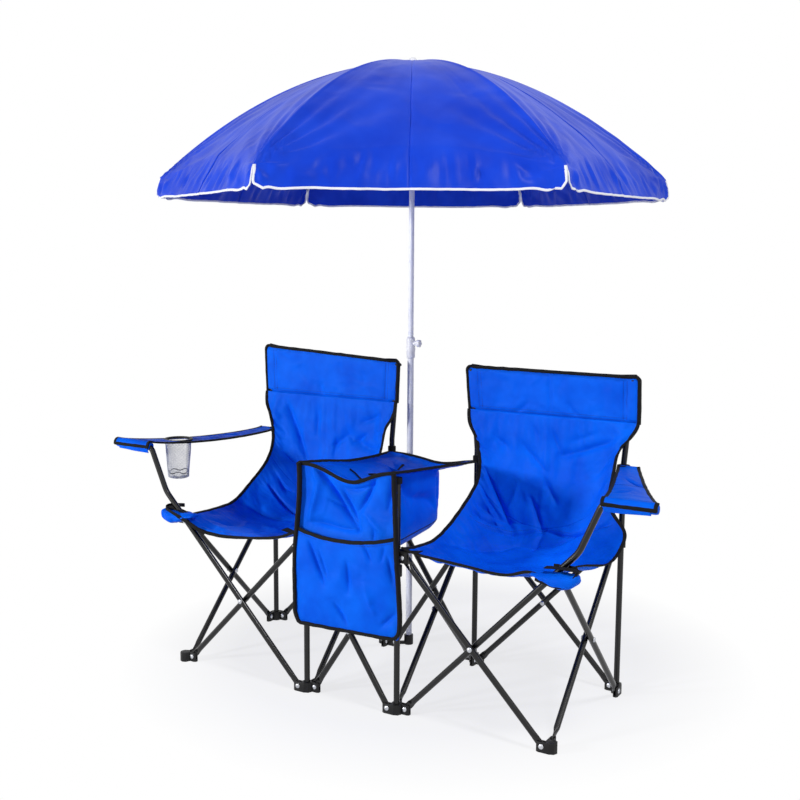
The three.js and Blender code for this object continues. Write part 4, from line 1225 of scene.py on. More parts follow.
# Creases of the covers: start and end as shares from the outer to the inner hem and from the front hem to the
# headrest, then depth and width in millimetres
SEAT_CREASES = {
    Side.RIGHT: creases(
        (0.93, 0.76, 0.69, 0.64, 6.5, 9), (0.96, 0.68, 0.78, 0.65, 4, 7), (0.60, 0.79, 0.47, 0.65, 5.5, 8),
        (0.51, 0.87, 0.41, 0.78, 4, 8), (0.94, 0.56, 0.74, 0.62, 6, 9), (0.76, 0.68, 0.69, 0.82, -4, 9),
        (0.91, 0.53, 0.46, 0.67, 4, 7), (0.46, 0.67, 0.04, 0.56, 4, 7), (0.62, 0.99, 0.56, 0.96, 3, 6),
        (0.47, 0.97, 0.42, 0.93, 3, 6), (0.82, 0.93, 0.75, 0.92, 3, 7), (0.36, 0.95, 0.21, 0.97, 3, 7),
        (0.42, 0.92, 0.14, 0.94, 4.5, 8), (0.66, 0.94, 0.49, 0.88, 3.5, 8), (0.96, 0.60, 0.61, 0.68, 5, 18),
        (0.56, 0.56, 0.19, 0.61, 4, 12), (0.96, 0.29, 0.56, 0.57, 5, 16), (0.47, 0.54, 0.46, 0.65, 3, 6),
    ),
    Side.LEFT: creases(
        (0.15, 1.00, 0.30, 0.82, 5, 9), (0.41, 0.99, 0.41, 0.91, 3.5, 7), (0.53, 0.88, 0.64, 0.91, 3.5, 6),
        (0.64, 0.92, 0.70, 0.89, 3.5, 6), (0.70, 0.89, 0.79, 0.90, 3.5, 6), (0.75, 0.94, 0.88, 0.95, 3, 6),
        (0.55, 0.85, 0.57, 0.90, 2.5, 6), (0.11, 0.57, 0.44, 0.53, 7, 9), (0.10, 0.64, 0.19, 0.62, 4, 7),
        (0.19, 0.62, 0.26, 0.64, 4, 7), (0.11, 0.76, 0.24, 0.77, 4, 8), (0.10, 0.40, 0.41, 0.47, 4, 12),
        (0.65, 0.93, 0.94, 0.80, 4, 10), (0.12, 0.12, 0.39, 0.24, 3, 12), (0.44, 0.53, 0.96, 0.60, 4, 8),
    ),
}
HEADREST_CREASES = {
    Side.RIGHT: creases(
        (0.50, 0.05, 0.50, 0.95, 1.6, 5), (0.30, 0.02, 0.36, 0.25, 2, 7), (0.66, 0.05, 0.60, 0.3, 2, 7)
    ),
    Side.LEFT: creases(
        (0.20, 0.35, 0.32, 0.5, 2, 7), (0.80, 0.6, 0.7, 0.4, 2, 6), (0.45, 0.04, 0.42, 0.3, 2, 7)
    ),
}
# Height of the front hem from the outer to the inner corner
FRONT_HEMS = {
    Side.RIGHT: (0.440, 0.446, 0.429, 0.427, 0.431, 0.4345, 0.438, 0.442, 0.453),
    Side.LEFT: (0.434, 0.408, 0.399, 0.399, 0.4035, 0.411, 0.419, 0.431, 0.455),
}
# Stitched seam across each seat, as shares like those of the creases
SEAMS = {
    Side.RIGHT: ((0.03, 0.55), (0.46, 0.67), (0.94, 0.53)),
    Side.LEFT: ((0.03, 0.57), (0.44, 0.53), (0.97, 0.60)),
}
# Mouth of each corner pocket: X past the outer corner, Y past the front, Z
MOUTHS = {
    Side.RIGHT: (
        (-0.042, -0.026, 0.438), (-0.014, -0.033, 0.434), (0.013, -0.036, 0.431), (0.038, -0.034, 0.434),
        (0.057, -0.018, 0.456), (0.050, 0.006, 0.466), (0.020, 0.020, 0.464), (-0.015, 0.022, 0.462),
    ),
    Side.LEFT: (
        (-0.099, -0.018, 0.403), (-0.066, -0.028, 0.422), (-0.030, -0.034, 0.440), (-0.006, -0.036, 0.450),
        (0.030, -0.030, 0.459), (0.052, -0.010, 0.462), (0.045, 0.010, 0.465), (0.010, 0.020, 0.466),
    ),
}
# Webbing over each corner pocket, where the arm tube goes in: X past the outer corner and Z of both ends
CORNER_TABS = {Side.RIGHT: ((-0.0235, 0.463), (0.065, 0.4645)), Side.LEFT: ((0.0435, 0.461), (-0.025, 0.449))}


@dataclass
class SeatCover:
    """One chair's sewn cover: scooped seat, waisted back, headrest, hem tape, corner pocket and webbing."""

    side: Side
    columns: int = 60
    rows: int = 108
    thickness: float = 1.6 * MM
    headrest_bottom: float = 0.752
    headrest_corner: float = 0.014
    sleeve_share: float = 0.955
    split_seat: float = 0.33
    split_back: float = 0.68

    # Half width, then Y and Z of the outer hem, of the inner hem and of the middle. The rows go from the
    # front hem up to the headrest.
    ROWS = (
        (0.200, -0.494, 0.456, -0.486, 0.449, -0.482, 0.425),
        (0.200, -0.447, 0.446, -0.440, 0.443, -0.440, 0.420),
        (0.200, -0.396, 0.439, -0.392, 0.439, -0.393, 0.411),
        (0.200, -0.342, 0.437, -0.343, 0.437, -0.345, 0.403),
        (0.200, -0.291, 0.441, -0.296, 0.443, -0.297, 0.397),
        (0.200, -0.242, 0.452, -0.250, 0.457, -0.250, 0.392),
        (0.199, -0.196, 0.472, -0.205, 0.477, -0.205, 0.398),
        (0.198, -0.156, 0.500, -0.163, 0.502, -0.162, 0.411),
        (0.197, -0.122, 0.535, -0.120, 0.533, -0.122, 0.431),
        (0.197, -0.095, 0.578, -0.088, 0.572, -0.092, 0.466),
        (0.203, -0.079, 0.628, -0.074, 0.622, -0.073, 0.512),
        (0.213, -0.070, 0.676, -0.066, 0.672, -0.061, 0.570),
        (0.237, -0.054, 0.718, -0.053, 0.716, -0.051, 0.652),
        (0.240, -0.044, 0.756, -0.044, 0.756, -0.044, 0.756),
    )

    @property
    def middle_x(self) -> float:
        """X of the chair's middle."""
        return self.side.value * (LAYOUT.inner_x + LAYOUT.chair_bay / 2)

    @property
    def headrest_top(self) -> float:
        """Height of the headrest's top edge."""
        return 0.880 if self.side is Side.RIGHT else 0.891

    @property
    def headrest_half_width(self) -> float:
        """Half the headrest's width at its top edge."""
        return 0.2585 if self.side is Side.RIGHT else 0.2475

    @property
    def post(self) -> str:
        """The rear inner post's CAD node, whose body carries the back."""
        return f"post_rear_inner_{self.side.word}"

    def place(self, across: float, v: float) -> Vector:
        """Point of the cover.

        Args:
            across: 0 at the outer hem to 1 at the inner one.
            v: 0 at the front hem to 1 under the headrest.

        Returns:
            The point before the cloth settles.
        """
        u = 2 * across - 1
        half, outer_y, outer_z, inner_y, inner_z, middle_y, middle_z = curve_through(self.ROWS, v)
        edge_y, edge_z = (outer_y, outer_z) if u < 0 else (inner_y, inner_z)
        hang = 1 - abs(u) ** 2.2
        point = Vector((-u * half, between(edge_y, middle_y, hang), between(edge_z, middle_z, hang)))
        if v < 0.3:
            start = between(0.456 if u < 0 else 0.449, 0.425, hang)
            point.z += (level_along(FRONT_HEMS[self.side], across) - start) * math.exp(-v / 0.05)
        right = self.side is Side.RIGHT
        waist = bell(v, 0.46, 0.13 if v > 0.46 else 0.25)
        swing = waist * max(0.0, -u) ** 1.5 * (1 if right else 0.3)
        point += Vector((0.072, 0.055, -0.034 * bell(v, 0.34, 0.1))) * swing
        flare = (0.024 if u < 0 else 0.005) if right else 0.0025
        point.x -= flare * u * smooth_step((v - 0.87) / 0.13)
        shift = 0.010 * bell(v, 0.74, 0.15)
        return Vector((self.middle_x + self.side.value * point.x + shift, point.y, point.z))

    def part_motions(self) -> tuple[Motion, Motion, Motion]:
        """How the seat's front half, its rear half and the back follow the folding frame.

        Returns:
            The three motions.
        """
        post_x = self.side.value * LAYOUT.inner_x
        keep = LAYOUT.folded_bay / LAYOUT.chair_bay
        anchor = (post_x, LAYOUT.post_y, LAYOUT.seat_pivot)
        tubes = [f"side_inner_{self.side.word}_tube_{end}" for end in "ab"]
        front, rear = (Motion(BODY_OF[tube], "frame_fold", (1, 0, 0), anchor, keep) for tube in tubes)
        return front, rear, Motion(BODY_OF[self.post], "frame_fold", (1, 0, 0), anchor, keep + 0.024)

    def build(self) -> None:
        """Builds the cover and everything sewn to it."""
        word = self.side.word
        size = (0.42, 0.86)
        bm, grid = cloth_grid(self.place, self.columns, self.rows, size)
        limits = (int(self.rows * self.split_seat), int(self.rows * self.split_back))
        rank = {vert: j for j, row in enumerate(grid) for vert in row}
        for face in bm.faces:
            low = min(rank[vert] for vert in face.verts)
            face.material_index = sum(low >= limit for limit in limits)
        drape = Drape(slack=0.02, reach=10 * MM)
        folds = Folds(size, Vector((0, -0.5, 0.85)), SEAT_CREASES[self.side], seed=3.1 * self.side.value)
        names = [f"seat_front_{word}", f"seat_rear_{word}", f"back_{word}"]
        parts, points = sewn_sheet(bm, grid, names, self.thickness, folds, drape)
        motions = self.part_motions()
        bounds = [0, *limits, self.rows]
        for part, motion, low, high in zip(parts, motions, bounds, bounds[1:]):
            motion.carry(part, *self.hem_tapes(part.name, points, low, high))
        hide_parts(f"seat_cover_{word}")
        self.add_headrest(motions[2])
        self.add_pocket()
        self.add_webbing(points)
        lift = Vector((0, -0.5, 0.85)) * (1.2 * MM)
        spots = [curve_through(SEAMS[self.side], k / 60) for k in range(61)]
        line = [on_cloth(points, spot.x, spot.y) + lift for spot in spots]
        motions[1].carry(Stitching().sewn(f"seat_seam_{word}", [line], lift.normalized()))

    def hem_tapes(self, name: str, points: Rows, low: int, high: int) -> list[Object]:
        """Black tape along the hems of one part of the cover.

        Args:
            name: the part's name.
            points: the settled cloth, row by row.
            low: the part's first row.
            high: the part's last row.

        Returns:
            The tapes.
        """
        tape = Tape(half_width=5.0 * MM, half_thickness=2.2 * MM)
        rows = points[low : high + 1]
        made = [tape.along_side(f"{name}_outer_tape", rows, 0, 2)]
        made.append(tape.along_side(f"{name}_inner_tape", rows, -1, -3))
        if low == 0:
            front = Tape(half_width=5.0 * MM, half_thickness=3.4 * MM)
            made.append(front.along_edge(f"{name}_hem_tape", points[0], points[2]))
        return made

    def headrest_station(self, share: float) -> Station:
        """Cross-section of the headrest at -1 to +1 of its width.

        Args:
            share: where, from the left end to the right one.

        Returns:
            The cross-section.
        """
        size = abs(share)
        x = self.middle_x + share * self.headrest_half_width
        sleeve = bell(size, self.sleeve_share, 0.05)
        half = between(5.5, 11.0, sleeve) * MM * (1 if size < 0.985 else 0.7)
        y = between(-0.0375, -0.0312, sleeve)
        past = max(0.0, self.headrest_corner - (1 - size) * self.headrest_half_width)
        drop = self.headrest_corner - math.sqrt(self.headrest_corner**2 - past**2)
        low, high = self.headrest_bottom, self.headrest_top - drop
        return Station(Vector((x, y, (low + high) / 2)), Z_AXIS * (high - low) / 2, Y_AXIS * half)

    def lean(self, point: Vector) -> Vector:
        """Draws a headrest's point in towards its foot, as the posts lean. The left one also hangs askew.

        Args:
            point: the point of an upright headrest.

        Returns:
            The point that it is drawn to.
        """
        off = point.x - self.middle_x
        slide = 0.15 * off * (point.z - LAYOUT.back_post_height)
        if self.side is Side.LEFT:
            return point + Vector((slide, 0, -0.35 * off * (point.z - self.headrest_bottom)))
        return point + Vector((slide + 0.0032 + 0.052 * (self.headrest_top - point.z), 0, 0))

    def add_headrest(self, motion: Motion) -> None:
        """Adds the padded headrest, its stitching and its tape.

        Args:
            motion: the back's motion.
        """
        word = self.side.word
        size = (2 * self.headrest_half_width, self.headrest_top - self.headrest_bottom)
        bm = bmesh.new()
        spans = 110
        sweep(bm, [self.headrest_station(2 * k / spans - 1) for k in range(spans + 1)], 96, 0.42)
        for vert in bm.verts:
            share = min(max((vert.co.x - self.middle_x) / self.headrest_half_width, -1.0), 1.0)
            rise = (vert.co.z - self.headrest_bottom) / size[1]
            facing = -1.0 if vert.co.y < self.headrest_station(share).place.y else 1.0
            spot = Vector(((share + 1) / 2 * size[0], rise * size[1]))
            depth = sum(crease.depth_at(spot, size) for crease in HEADREST_CREASES[self.side])
            depth += 2.2 * MM * bell(abs(share), 0.84, 0.03)
            depth -= 1.5 * MM * wrinkled(Vector((spot.x / 0.035, spot.y / 0.03, facing)), 7.7)
            vert.co.y -= facing * depth * smooth_step(min(rise, 1 - rise) / 0.1) * (abs(share) < 0.96)
            pinch = smooth_step(min(rise / 0.10, (1 - rise) / 0.12, (1 - abs(share)) / 0.03))
            vert.co.y = between(self.headrest_station(share).place.y, vert.co.y, between(0.3, 1.0, pinch))
            vert.co = self.lean(vert.co)
        piece = padded_piece(f"headrest_{word}", bm, sharp=70)
        low, high = self.headrest_bottom + 0.010, self.headrest_top - 0.012
        seams = [[(share, low), (share, high)] for share in (-0.862, -0.822, 0.822, 0.862)]
        seams += [[(k / 20, level) for k in range(-17, 18)] for level in (low - 0.002, low + 0.005)]
        lines = []
        for seam in seams:
            line = []
            for share, level in seam:
                station = self.headrest_station(share)
                front = station.place.y - station.up.length + (1.1 * MM if abs(share) > 0.81 else 0.0)
                line.append(self.lean(Vector((station.place.x, front, level))))
            lines.append(line)
        thread = Stitching().sewn(f"headrest_{word}_stitching", lines, -Y_AXIS)
        edge, inner = self.headrest_outline()
        tape = Tape(half_width=4.8 * MM, half_thickness=6.5 * MM)
        motion.carry(piece, thread, tape.along_edge(f"headrest_{word}_tape", edge, inner))

    def headrest_outline(self) -> tuple[list[Vector], list[Vector]]:
        """The headrest's side and top edges with rounded corners, and points inside them.

        Returns:
            The edge and the points inside it.
        """
        half, radius = self.headrest_half_width, self.headrest_corner
        low, top = self.headrest_bottom, self.headrest_top
        flat = [(-half, between(low, top - radius, k / 10)) for k in range(10)]
        for step in range(7):
            turn = math.radians(180 - 90 * step / 6)
            flat.append((-half + radius + radius * math.cos(turn), top - radius + radius * math.sin(turn)))
        flat += [((half - radius) * (k / 12 - 1), top) for k in range(1, 12)]
        flat += [(0.0, top)] + [(-x, z) for x, z in reversed(flat)]
        edge, inner = [], []
        for x, z in flat:
            y = self.headrest_station(x / half).place.y - 2.0 * MM
            edge.append(self.lean(Vector((self.middle_x + x, y, z))))
            inner.append(Vector((self.middle_x + x * 0.6, y, between((low + top) / 2, z, 0.6))))
        return edge, inner

    def add_pocket(self) -> None:
        """Adds the sewn pocket that holds the outer front hub, its mouth tape and the webbing over it."""
        word, sign = self.side.word, self.side.value
        outer = LAYOUT.outer_x
        spots = (
            (-0.055, 0.018, 0.003, 0.445), (-0.030, 0.026, 0.008, 0.442), (0.000, 0.031, 0.0155, 0.4375),
            (0.024, 0.031, 0.0190, 0.4365), (0.044, 0.026, 0.0170, 0.439), (0.058, 0.017, 0.012, 0.443),
            (0.063, 0.008, 0.005, 0.444),
        )
        bm = bmesh.new()
        stations = []
        for k in range(49):
            reach, depth, half, level = curve_through(spots, k / 48)
            centre = Vector((sign * (outer + reach), LAYOUT.front_y - 0.010, level))
            stations.append(Station(centre, Y_AXIS * depth, Z_AXIS * half))
        sweep(bm, stations, 48, 0.8)
        bm.normal_update()
        for vert in bm.verts:
            vert.co += vert.normal * (2.6 * MM * wrinkled(vert.co / 0.020, 1.3 * sign))
        pocket = padded_piece(f"corner_pocket_{word}", bm)
        tape = Tape(half_width=5.5 * MM, half_thickness=1.8 * MM)
        curve = [curve_through(MOUTHS[self.side], k / 28) for k in range(29)]
        edge = [Vector((sign * (outer + spot.x), LAYOUT.front_y + spot.y, spot.z)) for spot in curve]
        mouth = tape.along_edge(f"corner_pocket_{word}_tape", edge, [point - Z_AXIS * 0.01 for point in edge])
        (start, low), (end, high) = CORNER_TABS[self.side]
        stations = []
        for share in (k / 12 for k in range(13)):
            level = between(low, high, share) + 2.5 * MM * math.sin(math.pi * share)
            centre = Vector((sign * (outer + between(start, end, share)), LAYOUT.front_y - 0.010, level))
            stations.append(Station(centre, Y_AXIS * 11 * MM, Z_AXIS * 1.5 * MM))
        tab = swept(f"corner_tab_{word}", HEM_TAPE, stations, 12, 0.5)
        Motion(BODY_OF[f"corner_hub_{word}"]).carry(pocket, mouth, tab)

    def add_webbing(self, points: Rows) -> None:
        """Adds the black webbing that ties the inner front corner to its slider.

        Args:
            points: the settled cloth, row by row.
        """
        word, sign = self.side.word, self.side.value
        post = LAYOUT.corner(f"front_inner_{word}")
        start = Vector((post.x + sign * 0.004, post.y - 0.014, 0.4445))
        end = points[0][-1] + Vector((sign * 0.050, 0.010, -0.006))
        stations = []
        for share in (k / 8 for k in range(9)):
            middle = start.lerp(end, share) - Z_AXIS * (0.0015 * math.sin(math.pi * share))
            stations.append(Station(middle, Y_AXIS * between(9, 15, share) * MM, Z_AXIS * 1.3 * MM))
        tie = swept(f"corner_webbing_{word}", HEM_TAPE, stations, 12, 0.5)
        Motion(BODY_OF[f"seat_slider_front_inner_{word}"]).carry(tie)


# Armrests


# Creases of an armrest's strap, from its inner edge and from its front
STRAP_CREASES = creases(
    (0.1, 0.35, 0.5, 0.45, 3, 8), (0.9, 0.6, 0.4, 0.75, 3, 8), (0.2, 0.14, 0.8, 0.16, 2, 5)
)


@dataclass
class Armrest:
    """A cloth armrest: a strap from the back post that widens, and rolls over the arm tube in front."""

    side: Side
    front_inner: float = 0.694
    front_outer: float = 0.826
    rear_inner: float = 0.572
    rear_outer: float = 0.632
    front_top: float = 0.6466
    rear_top: float = 0.638
    sag: float = 18 * MM
    roll: float = 0.07
    roll_radius: float = 14.6 * MM
    thickness: float = 3.0 * MM
    cup_y: float = -0.345
    cup_rim: float = 0.044
    cup_depth: float = 0.114
    columns: int = 26
    rows: int = 92

    @property
    def tube_y(self) -> float:
        """Y of the arm tube's middle."""
        return LAYOUT.front_y + self.side.value * LAYOUT.tube_spread

    def place(self, across: float, along: float) -> Vector:
        """Point of the strap.

        Args:
            across: 0 at the inner edge to 1 at the outer one.
            along: 0 at the front hem, which hangs over the arm tube, to 1 at the back post.

        Returns:
            The point.
        """
        share = max(0.0, (along - self.roll) / (1 - self.roll))
        inner = between(self.front_inner, self.rear_inner, share)
        outer = between(self.front_outer, self.rear_outer, share)
        x = self.side.value * between(inner, outer, across)
        turn = math.radians(100) * max(0.0, 1 - along / self.roll)
        if turn > 0:
            flat = Vector((0, -math.sin(turn), math.cos(turn))) * self.roll_radius
            return Vector((x, self.tube_y, LAYOUT.arm_height)) + flat
        level = between(self.front_top, self.rear_top, share) - self.sag * math.sin(math.pi * share) ** 0.6
        crown = 3.0 * MM * math.sin(math.pi * across) * math.sin(math.pi * share)
        return Vector((x, between(self.tube_y, LAYOUT.post_y - 0.008, share), level + crown))

    def motions(self) -> tuple[Motion, Motion]:
        """How strap and cup follow: both ride on the arm tube, and hold the axis along which the rear end
        would move as the frame folds, which carry() does not apply.

        Returns:
            The strap's motion and the cup's.
        """
        sign = self.side.value
        tube = BODY_OF[f"arm_tube_{self.side.word}"]
        front, rear = self.place(0.5, self.roll), self.place(0.5, 1.0)
        base = LAYOUT.corner(f"front_inner_{self.side.word}")
        base += Vector((sign * LAYOUT.pivot_reach, 0, LAYOUT.foot_pivot))
        drawn = LAYOUT.chair_bay - LAYOUT.folded_bay
        folded = rear + Vector((-sign * drawn, -drawn, 0))
        target = Matrix.Rotation(sign * LAYOUT.chair_turn, 3, "Y") @ (folded - base) + base
        axis = (target - rear).normalized()
        keep, cup_keep = 0.06, 0.72
        cup = self.cup_centre()
        shift = (cup - front).dot(axis) * (1 - keep)
        anchor = cup - axis * (shift / (1 - cup_keep))
        strap = Motion(tube, "frame_fold", tuple(axis), tuple(front), keep)
        return strap, Motion(tube, "frame_fold", tuple(axis), tuple(anchor), cup_keep)

    def cup_centre(self) -> Vector:
        """Finds the middle of the cup holder's ring.

        Returns:
            The point.
        """
        share = (self.cup_y - self.tube_y) / (LAYOUT.post_y - 0.008 - self.tube_y)
        centre = self.place(0.5, between(self.roll, 1.0, share))
        return Vector((centre.x, self.cup_y, centre.z + 0.001))

    def build(self) -> None:
        """Builds the armrest, and on the left one the cup holder."""
        word = self.side.word
        strap_motion, cup_motion = self.motions()
        size = (0.10, 0.47)
        bm, grid = cloth_grid(self.place, self.columns, self.rows, size)
        folds = Folds(size, Z_AXIS, STRAP_CREASES, 1.3 * MM, (0.03, 0.03), 2.0 * self.side.value, 0.12)
        (strap,), points = sewn_sheet(bm, grid, [f"armrest_{word}"], self.thickness, folds)
        if self.side is Side.LEFT:
            bm = bmesh.new()
            bm.from_mesh(strap.data)
            rim, centre = self.cup_rim - 3 * MM, self.cup_centre()
            inside = [face for face in bm.faces if (face.calc_center_median().xy - centre.xy).length < rim]
            bmesh.ops.delete(bm, geom=inside, context="FACES")
            bm.to_mesh(strap.data)
            bm.free()
        tape = Tape(half_width=5.0 * MM, half_thickness=2.8 * MM)
        front = [point + Vector((0, 0.001, 0)) for point in points[0]]
        tapes = [
            tape.along_side(f"armrest_{word}_inner_tape", points, 0, 1),
            tape.along_side(f"armrest_{word}_outer_tape", points, -1, -2),
            tape.along_edge(f"armrest_{word}_front_tape", front, points[1]),
        ]
        shares = [between(0.08, 0.92, k / 12) for k in range(13)]
        lines = [
            [on_cloth(points, share, along) + Z_AXIS * 2.2 * MM for share in shares]
            for along in (self.roll + 0.05, self.roll + 0.075, 0.58)
        ]
        seam = Stitching().sewn(f"armrest_{word}_stitching", lines, Z_AXIS)
        strap_motion.carry(strap, *tapes, seam)
        Motion(BODY_OF[f"arm_tube_{word}"]).carry(*self.add_sleeve())
        bm = bmesh.new()
        post = LAYOUT.corner(f"rear_outer_{word}") + Z_AXIS * (self.rear_top - 0.002)
        band(bm, post, 13.0 * MM, 4.6 * MM, 2.6 * MM)
        band(bm, post - Z_AXIS * 0.006, 10.2 * MM, 1.4 * MM, 7.0 * MM)
        Motion(BODY_OF[f"post_rear_outer_{word}"]).carry(finish_piece(f"armrest_{word}_loop", bm, HEM_TAPE))
        if self.side is Side.LEFT:
            cup_motion.carry(*self.add_cup())

    def add_sleeve(self) -> list[Object]:
        """Adds the padding under the strap, round the arm tube, and the flap that hangs under it.

        Returns:
            The sleeve and the flap.
        """
        word, sign = self.side.word, self.side.value
        y, z = self.tube_y, LAYOUT.arm_height
        stations = []
        for k in range(25):
            x = sign * between(self.front_inner, self.front_outer, k / 24)
            reach = 12.0 * MM * (1 + 0.03 * math.sin(9 * k / 24)) * (1 if 0 < k < 24 else 0.9)
            stations.append(Station(Vector((x, y, z)), Y_AXIS * reach, Z_AXIS * reach))
        bm = bmesh.new()
        sweep(bm, stations, 24)
        sleeve = padded_piece(f"armrest_{word}_sleeve", bm)

        def hang(share: float, drop: float) -> Vector:
            x = sign * between(self.front_inner + 0.004, self.front_outer - 0.014, share)
            wave = 2.0 * MM * math.sin(7 * share + 2 * drop) * drop
            return Vector((x, y - 0.0128 + 0.004 * drop + wave, z - 0.003 - 0.016 * drop * (1 - 0.3 * share)))

        bm, _ = cloth_grid(hang, 32, 8, (0.1, 0.02))
        flap = cloth_piece(f"armrest_{word}_flap", bm, SEAT_OXFORD, 1.6 * MM)
        return [sleeve, flap]

    def add_cup(self) -> list[Object]:
        """Adds the cup holder: black ring, knotted net with its seam, and base.

        Returns:
            The cup holder's pieces.
        """
        centre = self.cup_centre()
        rim, depth = self.cup_rim, self.cup_depth
        bm = bmesh.new()
        band(bm, centre, rim - 4.5 * MM, 5.0 * MM, 3.6 * MM, 0.7)
        ring = finish_piece("cup_ring", bm, BLACK_NYLON)
        around, levels = 52, 24
        bm = bmesh.new()
        grid = grid_of(bm, around, levels)
        for j, row in enumerate(grid):
            drop = j / levels
            for i, vert in enumerate(row):
                turn = 2 * math.pi * (i + (j % 2) / 2) / around
                waist = between(rim - 6 * MM, 29 * MM, smooth_step(drop * 0.9) * 0.9)
                sway = 1 + 0.05 * math.sin(3 * turn + 4 * drop) * drop
                past = max(0.0, (drop - 0.86) / 0.14)
                base = math.sqrt(max(0.0, 1 - past**2)) * 0.98 + 0.02
                flat = Vector((math.cos(turn), math.sin(turn), 0)) * (waist * sway * base)
                level = -depth * (min(drop, 0.86) / 0.86 + 0.03 * past)
                vert.co = centre + flat + Z_AXIS * level
        bmesh.ops.remove_doubles(bm, verts=bm.verts[:], dist=0.05 * MM)
        bmesh.ops.triangulate(bm, faces=bm.faces[:])
        rises = [(edge, abs(edge.verts[0].co.z - edge.verts[1].co.z)) for edge in bm.edges]
        level_edges = [e for e, rise in rises if rise < 0.05 * MM and e.calc_length() > 0.5 * MM]
        bmesh.ops.dissolve_edges(bm, edges=level_edges)
        net = finish_piece("cup_net", bm, NET_TWINE, closed=False)
        wires = net.modifiers.new("Net twine", "WIREFRAME")
        wires.thickness = 1.0 * MM
        wires.use_even_offset = False
        stations = []
        for k in range(96):
            turn = 2 * math.pi * k / 96
            wave = 3.0 * MM * math.sin(5 * turn) + 2.0 * MM * noise.noise(Vector((9 * turn, 3, 0)))
            outward = Vector((math.cos(turn), math.sin(turn), 0))
            middle = centre + outward * 30.5 * MM + Z_AXIS * (wave - depth * 0.86)
            stations.append(Station(middle, outward * 1.0 * MM, Z_AXIS * 1.6 * MM))
        return [ring, net, swept("cup_net_seam", HEM_TAPE, stations, 8, ring=True)]


# Table and cooler


# Creases of the table's cloths, from the left edge and from the front edge or the top
TOP_CREASES = creases(
    (0.05, 0.20, 0.21, 0.32, 4, 8), (0.50, 0.70, 0.56, 0.84, 4, 7), (0.72, 0.53, 0.96, 0.56, 5, 9),
    (0.26, 0.78, 0.50, 0.62, 4, 8), (0.42, 0.44, 0.34, 0.80, 4, 7), (0.58, 0.16, 0.70, 0.34, 3, 8),
)
PANEL_CREASES = creases(
    (0.14, 0.02, 0.20, 0.08, -5, 10), (0.20, 0.08, 0.12, 0.34, -6, 12), (0.19, 0.01, 0.59, 0.32, 8, 10),
    (0.44, 0.09, 0.59, 0.28, 6, 8), (0.80, 0.01, 0.60, 0.20, 6, 9), (0.96, 0.03, 0.89, 0.22, 5, 8),
    (0.30, 0.19, 0.42, 0.20, 3, 6), (0.47, 0.06, 0.75, 0.06, 4, 8), (0.11, 0.36, 0.59, 0.32, 4, 9),
    (0.75, 0.33, 0.76, 0.40, 3, 6), (0.66, 0.22, 0.84, 0.36, -4, 10),
)
POCKET_CREASES = creases(
    (0.15, 0.11, 0.31, 0.50, 6, 8), (0.26, 0.17, 0.34, 0.42, 3.5, 6), (0.53, 0.24, 0.54, 0.55, 5, 8),
    (0.91, 0.17, 0.95, 0.42, 4, 7), (0.41, 0.71, 0.51, 0.90, 4.5, 8), (0.84, 0.87, 0.95, 0.74, 4, 8),
    (0.69, 0.03, 0.76, 0.20, 3.5, 6), (0.88, 0.07, 0.86, 0.20, 3, 6), (0.70, 0.45, 0.78, 0.75, -3, 12),
)
BAG_CREASES = creases(
    (0.30, 0.06, 0.40, 0.40, 6, 8), (0.42, 0.05, 0.55, 0.38, 6, 8), (0.60, 0.10, 0.66, 0.42, 5, 8),
    (0.12, 0.2, 0.2, 0.5, 4, 8),
)


